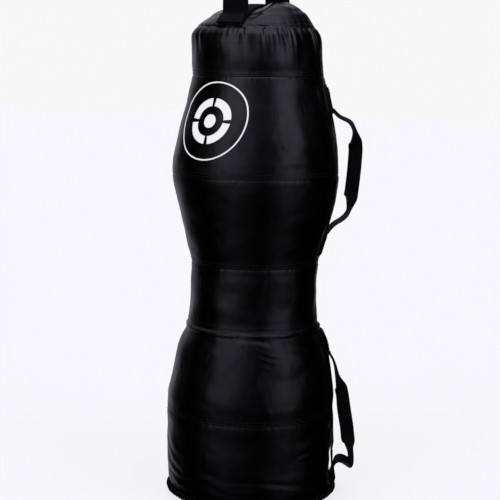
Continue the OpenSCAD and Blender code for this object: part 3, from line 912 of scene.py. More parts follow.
def webbing_material(name, dark=1.0, grey=0.0):
    """Black webbing with ribs across, a fine warp along and fuzz.

    UV is in metres: u across, v along.
    """
    material, graph = new_material(name)
    across, along, _ = graph.separate(
        graph.node("ShaderNodeUVMap", uv_map="UVMap").outputs[0])
    coords = graph.coords()
    warp_pitch, weft_pitch, zigzag_width = 0.0011, 0.0016, 0.0044
    warp = graph.math("SINE", graph.multiply(across, 2 * PI / warp_pitch))
    zigzag = graph.multiply(graph.math("PINGPONG", across, zigzag_width), 0.55)
    weft = graph.math("SINE", graph.multiply(graph.add(along, zigzag), 2 * PI / weft_pitch))
    weave = graph.add(graph.multiply(warp, 0.45), graph.multiply(weft, 0.55))
    mid = graph.noise(coords, scale=90, detail=3)
    fuzz = graph.noise(coords, scale=900, detail=2, rough=0.7)
    low, high = 0.0009 * dark, (0.0012 + grey) * dark
    colour = graph.mix(graph.map_range(weave, (-0.8, 0.8), (0, 1)),
                       (low, low, 0.0010 * dark), (high * 1.5, high * 1.5, high * 1.55))
    colour = graph.mix(graph.ramp(fuzz, [(0.58, 0), (0.75, 1)]), colour,
                       (0.0034 + grey, 0.0034 + grey, 0.0037 + grey))
    colour = graph.mix(graph.map_range(mid, (0.35, 0.7), (0, 0.35)), colour,
                       (0.0020 + grey, 0.0020 + grey, 0.0023 + grey))
    normal = graph.bump(weave, distance=0.00022, strength=0.8)
    graph.drive(
        Base_Color=colour, Roughness=graph.map_range(weave, (-1, 1), (0.74, 0.56)),
        Sheen_Weight=0.01, Sheen_Roughness=0.5, Specular_IOR_Level=0.22,
        Normal=graph.bump(fuzz, distance=0.00012, strength=0.4, normal=normal))
    return material


def thread_material(name, colour=(0.020, 0.020, 0.022)):
    """Twisted thread whose shade changes from stitch to stitch."""
    material, graph = new_material(name)
    coords = graph.coords()
    shade = graph.node("ShaderNodeNewGeometry").outputs["Random Per Island"]
    twist = graph.node("ShaderNodeTexWave",
                       {"Scale": 700, "Distortion": 1.5, "Vector": coords},
                       bands_direction="DIAGONAL").outputs["Fac"]
    dark, light, bright = ([c * gain for c in colour] for gain in (0.55, 1.6, 2))
    mixed = graph.mix(shade, dark, light)
    graph.drive(Base_Color=graph.mix(graph.multiply(twist, 0.4), mixed, bright),
                Roughness=0.42, Normal=graph.bump(twist, distance=0.0001, strength=0.6))
    return material


def print_material(name):
    """White print, slightly worn, with a painted glow that makes it look more brightly lit than the
    lamps make it.
    """
    material, graph = new_material(name)
    coords = graph.coords()
    fine = graph.noise(coords, scale=700, detail=4, rough=0.7)
    mid = graph.noise(coords, scale=60, detail=4)
    colour = graph.mix(graph.ramp(fine, [(0.30, 1), (0.40, 0)]), 0.86, (0.55, 0.55, 0.56))
    colour = graph.mix(graph.map_range(mid, (0.4, 0.75), (0, 0.25)), colour,
                       (0.74, 0.74, 0.75))
    graph.drive(
        Base_Color=colour, Roughness=graph.map_range(mid, (0.3, 0.7), (0.38, 0.55)),
        Normal=graph.bump(fine, distance=0.00008, strength=0.4),
        # painted light: the print glows so that it looks brightly lit
        Emission_Color=colour, Emission_Strength=0.78)
    return material


def soft_material(name, dark, light, scale=300, rough=0.85, bump=0.0004, weave=True):
    """Dull cloth or foam between two colours."""
    material, graph = new_material(name)
    coords = graph.coords()
    height = graph.noise(coords, scale=scale, detail=4, rough=0.65)
    big = graph.noise(coords, scale=18, detail=3)
    if weave:
        threads = [graph.multiply(
            graph.node("ShaderNodeTexWave",
                       {"Scale": 260, "Distortion": 0.8, "Vector": coords},
                       bands_direction=axis).outputs["Fac"], 0.5) for axis in ("X", "Z")]
        height = graph.add(graph.add(*threads), graph.multiply(height, 0.4))
    colour = graph.mix(height, dark, light)
    colour = graph.mix(graph.map_range(big, (0.35, 0.7), (0, 0.35)), colour,
                       [c * 0.6 for c in dark])
    graph.drive(Base_Color=colour, Roughness=rough,
                Normal=graph.bump(height, distance=bump, strength=0.7))
    return material


def wood_material(name):
    material, graph = new_material(name)
    stretched = graph.node("ShaderNodeMapping",
                           {"Scale": (1, 9, 4), "Vector": graph.coords()}).outputs[0]
    grain = graph.noise(stretched, scale=22, detail=6, rough=0.65, distortion=1.2)
    fine = graph.noise(stretched, scale=190, detail=4, rough=0.7)
    colour = graph.ramp(grain, [(0.3, (0.20, 0.11, 0.055)), (0.55, (0.34, 0.21, 0.115)),
                                (0.75, (0.44, 0.30, 0.18))])
    graph.drive(
        Base_Color=graph.mix(graph.multiply(fine, 0.3), colour, (0.12, 0.07, 0.04)),
        Roughness=0.7, Normal=graph.bump(fine, distance=0.0003, strength=0.6))
    return material


VINYL = vinyl_material("vinyl_cover")
VINYL_PATCH = vinyl_material("vinyl_patch", tint=0.9, rough=0.33)
WEBBING = webbing_material("webbing_black")
WEBBING_CROWN = webbing_material("webbing_crown", grey=0.0045)
THREAD = thread_material("thread_dark")
THREAD_GRIP = thread_material("thread_grip", (0.0045, 0.0045, 0.005))
CORD = webbing_material("cord_black", dark=0.9)
PRINT = print_material("print_white")
FOAM = soft_material("foam_grey", (0.16, 0.165, 0.175), (0.30, 0.31, 0.33), scale=420,
                     rough=0.9, bump=0.0005, weave=False)
LINER = soft_material("liner_canvas", (0.50, 0.47, 0.40), (0.70, 0.67, 0.60))
FILL = soft_material("fill_shreds", (0.16, 0.17, 0.22), (0.50, 0.48, 0.46), scale=90,
                     rough=0.95, bump=0.002, weave=False)
SAND = soft_material("sand_sack", (0.34, 0.26, 0.16), (0.54, 0.44, 0.30))
TIE = soft_material("tie_cord", (0.55, 0.52, 0.44), (0.78, 0.75, 0.66), scale=500)
TAPE = soft_material("binding_tape", (0.012, 0.012, 0.012), (0.05, 0.05, 0.05), scale=500)
FILLER = soft_material("grip_filler", (0.03, 0.03, 0.03), (0.09, 0.09, 0.09), scale=500)
BOARD = wood_material("board_hardwood")

NODE_MATERIALS = {
    "base_board": BOARD, "foam_wrap": FOAM, "crown_pad": FOAM, "fill_liner": LINER,
    "liner_tie": TIE, "textile_fill": FILL, "ballast_bag": SAND, "seam_binding_tape": TAPE,
}
for node_name, node_object in NODES.items():
    node_object.data.materials.clear()
    node_object.data.materials.append(
        FILLER if node_name.endswith("grip_core") else NODE_MATERIALS.get(node_name, VINYL))

# ------------------------------------------------------------------ cover panels

PANEL_STEP = 2.1 * MM
# distances of the closely set rows from a panel's lower and upper edge
LOW_ROWS = np.array([0, 0.5, 1.0, 1.5, 2.0, 2.6, 3.3, 4.1, 5.0, 6.0, 6.8, 7.4, 8.0, 8.7,
                     9.6, 10.8, 12.2]) * MM
HIGH_ROWS = np.array([0, 0.5, 1.0, 1.6, 2.3, 3.1, 4.0, 5.0, 6.2, 7.6, 9.2, 11.0]) * MM
# the turned-in lower edge: drop below the edge, inset from the surface
HEM_TURN = [(0.35 * MM, 0.12 * MM), (0.60 * MM, 0.45 * MM), (0.60 * MM, 0.80 * MM),
            (0.35 * MM, 1.10 * MM)]


def panel_rows(low_z, high_z):
    low, high = low_z + LOW_ROWS, high_z - HIGH_ROWS[::-1]
    gap = high[0] - low[-1]
    count = max(2, int(round(gap / PANEL_STEP)))
    return np.concatenate([low, low[-1] + gap * np.arange(1, count) / count, high])


def build_panel(tier, front):
    """One half of a tier as a thin closed sheet, its upper edge tucked under the next tier."""
    low_z, high_z = EDGES[tier], EDGES[tier + 1]
    rows = panel_rows(low_z, high_z)
    mid_radius = float(base_radius(np.array([(low_z + high_z) / 2]), tier)[0])
    half = PI / 2 + (LAP if front else -0.0036) / mid_radius
    start, end = (-half, half) if front else (half, 2 * PI - half)
    count = int(round((end - start) * mid_radius / PANEL_STEP))
    rim = 0.0011 / mid_radius
    angles = np.concatenate([[start, start + 0.15 * rim, start + 0.5 * rim],
                             np.linspace(start + rim, end - rim, count),
                             [end - 0.5 * rim, end - 0.15 * rim, end]])
    rounding = np.zeros(len(angles))
    rounding[:3] = -0.00055, -0.00028, -0.00008
    rounding[-3:] = rounding[2::-1]
    angle, z = np.meshgrid(angles, rows)
    radius = base_radius(z, tier)
    outer = radius + cover_lift(angle, z, tier) + lap_lift(angle, radius, front) + rounding
    inner = outer - (THICK + rounding)
    high_out, high_in = outer[-1], inner[-1]
    slope = (high_out - outer[-2]) / (rows[-1] - rows[-2]) * 0.2
    short, tuck = 1.2 * MM, 3.0 * MM
    top = [(high_z + short, high_out + slope * short), (high_z + tuck, high_out + slope * tuck),
           (high_z + tuck + 0.4 * MM, (high_out + high_in) / 2), (high_z + tuck, high_in),
           (high_z + short, high_in)]
    low = [(low_z - drop, outer[0] - inset) for drop, inset in HEM_TURN]
    radii = list(outer) + [r for _, r in top] + list(inner[::-1]) + [r for _, r in low[::-1]]
    heights = np.array([*rows, *(h for h, _ in top), *rows[::-1], *(h for h, _ in low[::-1])])
    verts = polar(np.array(radii), angles[None], heights[:, None]).reshape(-1, 3)
    total, columns = len(radii), len(angles)
    faces = grid_faces(total, columns, close_r=True).tolist()
    # end walls pair each outer row with its inner row
    count, top_count = len(rows), len(top)
    outs = list(range(count))
    ins = [count + top_count + (count - 1 - i) for i in range(count)]
    rings = [[outs[i], outs[i + 1], ins[i + 1], ins[i]] for i in range(count - 1)]
    rings.append([outs[-1]] + [count + j for j in range(top_count)] + [ins[-1]])
    rings.append([ins[0]] + [2 * count + top_count + j for j in range(len(low))] + [outs[0]])
    for column, flip in ((0, False), (columns - 1, True)):
        for ring in rings:
            wall = [i * columns + column for i in ring]
            faces.append(wall[::-1] if flip else wall)
    uv = np.stack([np.tile(angles * mid_radius, total), np.repeat(heights, columns)], -1)
    name = f"{TIERS[tier]}_{'front' if front else 'back'}"
    make(f"cover_{name}", (verts, faces, uv), VINYL, f"{name}_panel")


for tier_index in range(len(TIERS)):
    build_panel(tier_index, True)
    build_panel(tier_index, False)

# ------------------------------------------------------------------ crown

crown_lump = random_field(31, 0.07, radius=0.09)
STRAP_HALF = float(np.abs(node_points("crown_strap")[:, 0]).max())
# the edge round the crown's rim: outwards, upwards
RIM_EDGE = [(0.45 * MM, -0.35 * MM), (0.60 * MM, -0.85 * MM), (0.45 * MM, -1.30 * MM),
            (0.0, -1.55 * MM)]
RIM_ROWS = np.array([8.5, 7.2, 6.2, 5.5, 4.8, 3.8, 2.8, 1.9, 1.2, 0.6, 0.2, 0.0]) * MM


def crown_lift(reach, angle):
    """Lift of the dome above the CAD profile."""
    inward = R_CROWN - reach
    # the strap holds the middle down flat, and the filling swells at both sides of it
    off = np.abs(reach * np.sin(angle))
    free = ease(off, STRAP_HALF + 0.0016, STRAP_HALF + 0.011)
    out = free * apply_folds(angle, np.maximum(inward, 0), np.maximum(reach, 0.02), dome_folds)
    out += free * 0.9 * MM * crown_lump(angle, reach) * ease(inward, 0, 0.03)
    out += (0.0060 * ease(off, STRAP_HALF + 0.0010, STRAP_HALF + 0.030)
            * ease(inward, 0.002, 0.040))
    # it is fuller at the viewer's right
    out += ((0.0060 * np.sin(angle - VIEW) + 0.0014) * ease(inward, 0.0, 0.020)
            * (1 - 0.55 * ease(inward, 0.045, 0.100))
            * ease(off, STRAP_HALF + 0.002, STRAP_HALF + 0.024))
    # the rim turns down and dips at its stitches
    out += -0.0012 * turn_in(inward, 0.004) - 0.0004 * bell(inward - CROWN_ROW, 0.0009)
    return out


def crown_point(reach, angle):
    reach, angle = np.broadcast_arrays(np.asarray(reach, float), np.asarray(angle, float))
    leaning = lean(angle, np.full(reach.shape, Z_CROWN)) * (reach / R_CROWN) ** 2
    return polar(reach + leaning, angle, dome_height(reach) + crown_lift(reach, angle))


def build_crown():
    angles = around(420)
    reach = np.concatenate([[0.0012], np.linspace(0.004, R_CROWN - 0.010, 50),
                            R_CROWN - RIM_ROWS])
    top = crown_point(reach[:, None], angles[None])
    outward = polar(1.0, angles, 0.0)
    rows = list(top)
    rows += [top[-1] + outward * out + np.array([0, 0, up]) for out, up in RIM_EDGE]
    # the underside follows inside, along the dome's normal
    slope = np.gradient(dome_height(reach), reach)
    normal_z = 1 / np.sqrt(1 + slope**2)
    normal_r = -slope * normal_z
    for i in range(len(reach) - 1, -1, -1):
        if i > len(reach) - 6:
            rows.append(top[i] + np.array([0, 0, -1.55 * MM]) - outward * 0.9 * MM)
        else:
            rows.append(top[i] - outward * normal_r[i] * THICK
                        - np.array([0, 0, normal_z[i] * THICK]))
    centre = float(crown_point(np.zeros(1), np.zeros(1))[0, 2])
    verts, faces = capped_rows(rows, centre, centre - THICK, flip=True)
    make("cover_crown", (verts, faces, verts[:, :2]), VINYL, "crown_panel")


build_crown()

# ------------------------------------------------------------------ right under the cover


def inner_sleeve(name, heights, depth, inner_radius, material, replaces, count, seed):
    """A sleeve that follows the cover at a depth below its surface."""
    angles = around(count)
    angle, z = np.meshgrid(angles, heights)
    outer = surface_radius(angle, z) - depth
    outer -= 0.12 * MM * (random_field(seed, 0.05)(angle, z) + 1.5)
    # stay below the folds that lie between the grid lines
    outer = np.minimum(
        outer, np.minimum(np.roll(outer, 1, 1), np.roll(outer, -1, 1)) + 0.0004)
    inner = np.minimum(inner_radius(z, outer), outer - 0.0005)
    verts = polar(np.vstack([outer, inner[::-1]]), angles[None], np.vstack([z, z[::-1]]))
    faces = grid_faces(len(verts), count, close_c=True, close_r=True).tolist()
    make(name, (verts.reshape(-1, 3), faces, None), material, replaces)


def build_foam_sleeve():
    wrap_points = node_points("foam_wrap")
    low, high = z_range(wrap_points)
    reach = np.hypot(wrap_points[:, 0], wrap_points[:, 1])
    cover = base_radius(np.clip(wrap_points[:, 2], Z_FOOT, Z_CROWN))
    depth = float((cover - reach).max()) - 0.0006
    inner_sleeve("foam_sleeve", np.linspace(low, high - 0.001, 208), 2.5 * MM,
                 lambda z, outer: base_radius(z) - depth,
                 FOAM, "foam_wrap", count=240, seed=61)


build_foam_sleeve()
for seam_index, seam_z in enumerate(SEAMS):
    inner_sleeve(f"binding_tape_{seam_index + 1}",
                 np.linspace(seam_z - 0.010, seam_z + 0.010, 15), 1.35 * MM,
                 lambda z, outer: outer - 0.0009,
                 TAPE, "seam_binding_tape", count=360, seed=65 + seam_index)


def build_pad():
    """The foam pad under the crown."""
    angles = around(160)
    pad = node_points("crown_pad")
    edge = np.hypot(pad[:, 0], pad[:, 1]).max()
    low = pad[:, 2].min()
    uneven = random_field(67, 0.05, radius=0.08)
    reaches = np.concatenate([[0.002], np.linspace(0.006, edge - 0.004, 26),
                              [edge - 0.0015, edge]])
    rows = []
    for reach in reaches:
        z = crown_point(reach, angles)[:, 2] - 3.2 * MM + 0.4 * MM * uneven(angles, reach)
        z = np.maximum(z - (0.003 if reach > edge - 0.001 else 0.0), low + 0.003)
        rows.append(polar(reach, angles, z))
    rows += [polar(reach, angles, low) for reach in (edge, edge - 0.002, edge * 0.6, 0.002)]
    verts, faces = capped_rows(rows, rows[0][:, 2].mean(), low, flip=True)
    make("crown_foam_pad", (verts, faces, None), FOAM, "crown_pad")


build_pad()

# ------------------------------------------------------------------ stitches

STITCH_LENGTH = 3.1 * MM
STITCH_RADIUS = 0.36 * MM
STITCH_BOW = 0.25 * MM          # how far its ends dip into the cloth
STITCH_FILL = 0.74              # length of a stitch over the pitch
RING_PITCH = 4.2 * MM
TANGENT_STEP = 1.5 * MM
STITCH_SIDES = 6
# a stitch's profile: place along its length, share of its radius
STITCH_PROFILE = [(-0.5, 0.30), (-0.42, 0.78), (-0.2, 1.0), (0.2, 1.0), (0.42, 0.78),
                  (0.5, 0.30)]
STITCH_VERTS = np.array([(t, r * math.cos(q), r * math.sin(q))
                         for t, r in STITCH_PROFILE for q in around(STITCH_SIDES)])
STITCH_FACES = rod_faces(len(STITCH_PROFILE), STITCH_SIDES)


def stitches(points, tangents, normals, length=STITCH_LENGTH, seed=1, sink=0.10 * MM):
    """Capsules at points along tangents, lying on a surface with the normals given."""
    points, tangents, normals = (np.asarray(q, float).reshape(-1, 3)
                                 for q in (points, tangents, normals))
    rng = np.random.default_rng(seed)
    tangents = unit(tangents)
    across = unit(np.cross(normals, tangents))
    up = np.cross(tangents, across)
    twist = rng.normal(0, 0.05, len(points))[:, None]
    tangents = tangents * np.cos(twist) + across * np.sin(twist)
    across = np.cross(up, tangents)
    lengths = length * rng.uniform(0.93, 1.05, len(points))
    along, side, rise = STITCH_VERTS.T
    lift = rise * STITCH_RADIUS * 0.8 - STITCH_BOW * (2 * along) ** 4 + (STITCH_RADIUS - sink)
    verts = (points[:, None] + tangents[:, None] * (along * lengths[:, None])[..., None]
             + across[:, None] * (side * STITCH_RADIUS)[None, :, None]
             + up[:, None] * lift[None, :, None])
    count = len(STITCH_VERTS)
    faces = [[j + i * count for j in face] for i in range(len(points)) for face in STITCH_FACES]
    return verts.reshape(-1, 3), faces, None


def bag_stitches(angle, z, turn, rise, off=0.0, **options):
    """Stitches on the bag's surface that head by turn in azimuth and by rise in height."""
    points, normals = surface(angle, z, off)
    ahead, _ = surface(angle + turn, z + rise, off)
    return stitches(points, ahead - points, normals, **options)


def ring_stitches(z, seed):
    radius = float(base_radius(np.array([z]))[0])
    count = int(2 * PI * radius / RING_PITCH)
    angles = (np.arange(count) + 0.5) / count * 2 * PI
    heights = z + np.random.default_rng(seed).normal(0, 0.06 * MM, count)
    return bag_stitches(angles, heights, TANGENT_STEP / radius, 0.0,
                        length=RING_PITCH * STITCH_FILL, seed=seed)


def crown_stitches():
    reach = R_CROWN - CROWN_ROW
    angles = around(int(2 * PI * reach / RING_PITCH))
    points = crown_point(reach, angles)
    ahead = crown_point(reach, angles + 0.01) - points
    inward = crown_point(reach - 1.0 * MM, angles) - points
    normals = unit(np.cross(ahead, inward))
    normals *= np.sign(normals[:, 2:3])
    return stitches(points, ahead, normals, seed=140)


def build_ring_stitching():
    parts = []
    for i, seam in enumerate(SEAMS):
        parts.append(ring_stitches(seam + HEM_ROWS[0], seed=100 + i))
        parts.append(ring_stitches(seam + HEM_ROWS[1], seed=120 + i))
    parts.append(crown_stitches())
    make("topstitching_rings", join(parts), THREAD, "panel_topstitching")


def build_side_stitching():
    parts = []
    for sign in (1, -1):
        for i in range(len(TIERS)):
            low = EDGES[i] + (0.013 if i else 0.012)
            high = EDGES[i + 1] - 0.006
            count = int((high - low) / 0.0042)
            z = low + (np.arange(count) + 0.5) / count * (high - low)
            for row in LAP_ROWS:
                angle = sign * (PI / 2 + row / base_radius(z))
                parts.append(bag_stitches(angle, z, 0.0, TANGENT_STEP,
                                          seed=200 + i + 10 * sign, sink=0.15 * MM))
    make("topstitching_sides", join(parts), THREAD, "side_seam_laps")


build_ring_stitching()
build_side_stitching()

# ------------------------------------------------------------------ printed target

emblem = node_points("emblem_ring")
emblem_centre = emblem.mean(0)
EMBLEM_ANGLE = math.atan2(emblem_centre[0], -emblem_centre[1])
EMBLEM_Z = sum(z_range(emblem)) / 2
EMBLEM_RADIUS = (emblem[:, 2].max() - emblem[:, 2].min()) / 2
EMBLEM_SQUASH = 0.935           # height over width of the print
EMBLEM_SHEAR = 0.075
EMBLEM_SHIFT = 2.2 * MM         # moved towards +azimuth
PRINT_OFF, PRINT_THICK = 0.34 * MM, 0.30 * MM


def print_sector(inner, outer, start, end, rows, columns, closed):
    """An annular sector of print that lies on the cover."""
    turn, reach = np.meshgrid(np.linspace(start, end, columns, endpoint=not closed),
                              np.linspace(inner, outer, rows))
    x, y = reach * np.cos(turn), reach * np.sin(turn)
    z = EMBLEM_Z + y * EMBLEM_SQUASH
    angle = EMBLEM_ANGLE + (x + EMBLEM_SHEAR * y + EMBLEM_SHIFT) / base_radius(z)
    top, normal = surface(angle, z, PRINT_OFF)
    return (*thin_sheet(top, top - normal * PRINT_THICK, closed), None)


def build_print():
    ring = print_sector(EMBLEM_RADIUS - 2.6 * MM, EMBLEM_RADIUS, 0, 2 * PI, 5, 360, True)
    make("print_ring", join([ring]) if False else ring, PRINT, "emblem_ring")
    size = 2 * EMBLEM_RADIUS
    half_gap = math.asin(0.022 * size / (size * 0.24))
    parts = [print_sector(0.00006, size * 0.085, 0, 2 * PI, 14, 72, True)]
    for i in range(4):
        start = i * PI / 2
        parts.append(print_sector(size * 0.19, size * 0.29, start + half_gap,
                                  start + PI / 2 - half_gap, 14, 64, False))
    make("print_target", join(parts), PRINT, "emblem_target")


build_print()

# ------------------------------------------------------------------ foot: cord, lacing, bottom

rim_points = node_points("base_rim_cord")
Z_RIM = sum(z_range(rim_points)) / 2
R_RIM = np.hypot(rim_points[:, 0], rim_points[:, 1]).mean()
RIM_OUT = 0.2 * MM
LACE_TURNS = 98
LACE_STEPS = 22
rim_wave = random_field(71, 0.09)


def ring_cord(path, radius, sides):
    """A round cord along a closed path; UV is in metres, round and along."""
    count = len(path)
    tangent = unit(np.roll(path, -1, 0) - np.roll(path, 1, 0))
    normal = np.zeros_like(path)
    current = np.array([0, 0, 1.0])
    for i in range(count):
        current = unit(current - tangent[i] * (current @ tangent[i]))
        normal[i] = current
    side = np.cross(tangent, normal)
    radius = np.broadcast_to(radius, (count,))
    turn = around(sides)
    verts = path[:, None] + radius[:, None, None] * (
        np.cos(turn)[None, :, None] * normal[:, None]
        + np.sin(turn)[None, :, None] * side[:, None])
    uv = np.stack([np.tile(turn * radius[0], count), np.repeat(run_length(path), sides)], -1)
    faces = grid_faces(count, sides, close_c=True, close_r=True).tolist()
    return verts.reshape(-1, 3), faces, uv


def build_rim_cord():
    angles = around(480)
    sag = rim_wave(angles, 0 * angles) * 0.5 * MM
    path = polar(R_RIM + RIM_OUT + sag * 0.4, angles, Z_RIM + sag)
    make("rim_cord", ring_cord(path, 2.5 * MM, 12), CORD, "base_rim_cord")


def build_lacing():
    """A cord wound in a spiral round the rim cord."""
    count = LACE_TURNS * LACE_STEPS
    share = np.arange(count) / count
    angle = 2 * PI * share
    phase = 2 * PI * LACE_TURNS * share
    rng = np.random.default_rng(77)

    def per_turn():
        values = np.append(rng.normal(0, 1, LACE_TURNS), 0)
        return np.interp(share * LACE_TURNS, np.arange(LACE_TURNS + 1), values)

    tightness, shift = per_turn(), per_turn()
    sag = rim_wave(angle, 0 * angle) * 0.5 * MM
    coil = (4.7 + 0.28 * tightness) * MM
    path = polar(R_RIM + RIM_OUT + coil * np.cos(phase),
                 angle + 0.0012 / 0.155 * np.sin(phase) + shift * 0.0004 / 0.155,
                 Z_RIM + sag + coil * np.sin(phase) * 0.98 + 0.2 * MM * shift)
    thickness = 2.3 * MM * (1 + 0.05 * per_turn())
    make("foot_lacing", ring_cord(path, thickness, 9), CORD, "base_lace")


build_rim_cord()
build_lacing()

# ------------------------------------------------------------------ inside the bag

liner_points = node_points("fill_liner")
LINER_LOW, LINER_TOP = z_range(liner_points)
liner_big = random_field(81, 0.16)
liner_fine = random_field(82, 0.030, stretch=2.2)
liner_long = random_field(83, 0.07, stretch=3.5)
sand_points = node_points("ballast_bag")
SAND_LOW, SAND_TOP = z_range(sand_points)
SAND_RADIUS = np.hypot(sand_points[:, 0], sand_points[:, 1]).max()


def revolve(profile, count, shape):
    """A body of revolution from (radius, height) rows, closed on the axis at both ends.

    shape(row, radius, z, angles) returns the moved radius and height.
    """
    angles = around(count)
    rows = []
    for i, (radius, z) in enumerate(profile):
        radius, z = shape(i, np.full(count, radius), np.full(count, z), angles)
        rows.append(polar(radius, angles, z))
    return (*capped_rows(rows, rows[0][:, 2].mean(), rows[-1][:, 2].mean()), None)


def profile_of(name, top):
    """Heights of a round node up to a top, and its largest radius at each."""
    points = node_points(name)
    reach, rounded = np.hypot(points[:, 0], points[:, 1]), np.round(points[:, 2], 4)
    heights = np.unique(rounded[points[:, 2] <= top + 1e-5])
    return heights, np.array([reach[rounded == z].max() for z in heights])


def narrowest(z, reach, heights, radii):
    """Smallest radius of a profile within a reach of height z."""
    return float(min(np.interp(z + q, heights, radii) for q in np.linspace(-reach, reach, 5)))


def slack(angle, z):
    """How far the liner's slack cloth lies inside its widest shape."""
    amount = (1.1 + 0.7 * liner_big(angle, z) + 0.35 * liner_fine(angle, z)
              + 0.75 * np.abs(liner_long(angle, z)))
    return np.clip(amount, 0.15, 4.2) * MM


def build_liner():
    """The liner sack, gathered in pleats to a neck."""
    shoulder_z = LINER_TOP - 0.022
    heights, radii = profile_of("fill_liner", shoulder_z)
    keep = np.concatenate([[True], np.diff(radii) > -0.05]) & (heights > LINER_LOW + 0.0012)
    heights, radii = heights[keep], radii[keep]
    base = float(np.interp(LINER_LOW + 0.002, heights, radii))
    # rows of (radius, height) from the foot's middle up to the neck
    foot = [(0.004, LINER_LOW), (0.05, LINER_LOW), (base - 0.024, LINER_LOW),
            (base - 0.014, LINER_LOW + 0.0003), (base - 0.009, LINER_LOW + 0.0015),
            (base - 0.0064, LINER_LOW + 0.0045)]
    body = [(narrowest(z, 0.002, heights, radii), z)
            for z in np.linspace(LINER_LOW + 0.009, shoulder_z, 190)]
    edge = body[-1][0]
    shoulder = [(edge - 0.0035, shoulder_z + 0.0035), (edge - 0.0075, shoulder_z + 0.0072)]
    shoulder += [(edge - 0.0082 - (edge - 0.0082 - 0.030) * q, shoulder_z + 0.0078 + 0.0052 * q)
                 for q in np.linspace(0.06, 1, 22)]
    neck = [(0.0268, LINER_TOP - 0.0072), (0.0243, LINER_TOP - 0.0056),
            (0.0231, LINER_TOP - 0.0038), (0.0224, LINER_TOP - 0.0024),
            (0.0221, LINER_TOP - 0.0011), (0.0219, LINER_TOP)]
    outer = np.array(foot + body + shoulder + neck)
    foot_count, body_end = len(foot), len(foot) + len(body)
    travel = unit(np.gradient(outer, axis=0))
    normal = np.stack([travel[:, 1], -travel[:, 0]], -1)
    pleat_phase = random_field(84, 0.05)
    cloth = 0.8 * MM

    # the rows go up the outside and come back down the inside
    count = len(outer)
    order = list(range(count)) + list(range(count - 1, -1, -1))

    def shape(row, radius, z, angles):
        i = order[row]
        reach, height = outer[i]
        if i < foot_count:
            inset = slack(angles, LINER_LOW + 0.01)
            inset = inset * (0.0 if i < 3 else (i - 2) / (foot_count - 1))
        else:
            inset = slack(angles, height)
        if i >= body_end:
            gather = ease(reach, 0.125, 0.024)
            pleat = (0.5 + 0.5 * np.cos(34 * angles + 0.9 * pleat_phase(angles, 0 * angles)))
            depth = (0.5 + 2.0 * ease(reach, 0.125, 0.045)) * MM
            depth = depth * (1 if reach > 0.032 else 0.62)
            inset = inset * (1 - 0.8 * gather) + pleat * gather * depth
        if row >= count:
            inset = inset + cloth
        return np.maximum(reach - inset * normal[i, 0], 0.0015), height - inset * normal[i, 1]

    make("liner_sack", revolve(outer[order], 200, shape), LINER, "fill_liner")


def build_neck_cord():
    """Three strands twisted together round the neck."""
    tie = node_points("liner_tie")
    reach = np.hypot(tie[:, 0], tie[:, 1])
    radius, z = (reach.max() + reach.min()) / 2, sum(z_range(tie)) / 2
    angles = around(360)
    strand = 0.66 * MM
    parts = []
    for j in range(3):
        phase = 26 * angles + 2 * PI * j / 3
        path = polar(radius + strand * np.cos(phase), angles, z + strand * np.sin(phase))
        parts.append(ring_cord(path, 0.72 * MM, 8))
    make("neck_cord", join(parts), TIE, "liner_tie")


def build_fill():
    """The shredded fill, hollow below where the sand sack stands."""
    low, high = z_range(node_points("textile_fill"))
    top = high - 0.012
    heights, radii = profile_of("textile_fill", top)
    keep = (heights > low + 0.0012) & (radii > SAND_RADIUS + 0.02)
    heights, radii = heights[keep], radii[keep]
    coarse, fine = random_field(86, 0.055), random_field(87, 0.022)

    def lumps(angle, z):
        return np.clip(0.9 + 0.9 * coarse(angle, z) + 0.45 * fine(angle, z), 0.1, 4.0) * MM

    # rows: part, radius, height
    cap_z = SAND_TOP + 0.0006
    rows = [("cap", r, cap_z)
            for r in (0.004, 0.3 * SAND_RADIUS, 0.6 * SAND_RADIUS, 0.9 * SAND_RADIUS)]
    rows += [("wall", SAND_RADIUS + 0.0005, z)
             for z in np.linspace(SAND_TOP + 0.0003, low + 0.0022, 16)]
    base = float(np.interp(low + 0.002, heights, radii))
    rows += [("foot", SAND_RADIUS + 0.0022, low), ("foot", (SAND_RADIUS + base - 0.02) / 2, low),
             ("foot", base - 0.021, low), ("foot", base - 0.013, low + 0.0012),
             ("foot", base - 0.0095, low + 0.004)]
    rows += [("side", narrowest(z, 0.0045, heights, radii) - 0.0002, z)
             for z in np.linspace(low + 0.009, top, 170)]
    edge = rows[-1][1]
    rows += [("top", edge - 0.005, top + 0.0030), ("top", edge - 0.0115, top + 0.0062)]
    rows += [("top", (edge - 0.0125) * (1 - q) + 0.004 * q, top + 0.0066 + 0.0048 * q)
             for q in np.linspace(0.04, 1, 20)]

    def shape(i, radius, z, angles):
        part, reach, _ = rows[i]
        if part == "cap":
            bumps = np.clip(coarse(angles, z + 6 * reach), -2, 2)
            return radius, z + 0.0016 + 0.5 * MM * bumps
        if part == "wall":
            return radius + 0.3 * lumps(angles, z), z
        if part == "foot":
            if reach <= base - 0.015:
                return radius, z
            return radius - (slack(angles, LINER_LOW + 0.01) + lumps(angles, z) + 0.0006), z
        inset = slack(angles, z) + lumps(angles, z)
        if part == "side":
            return radius - inset, z
        middle = 1 - ease(reach, edge - 0.012, edge - 0.001)
        dip = 0.9 * MM + 0.9 * MM * np.clip(1 + coarse(angles, z + 7 * reach), 0, 2.4)
        return (radius - inset * (1 - middle),
                z - 0.8 * MM - middle * dip - (1 - middle) * 0.5 * MM)

    body = revolve([(r, z) for _, r, z in rows], 200, shape)
    make("shredded_fill", body, FILL, "textile_fill")


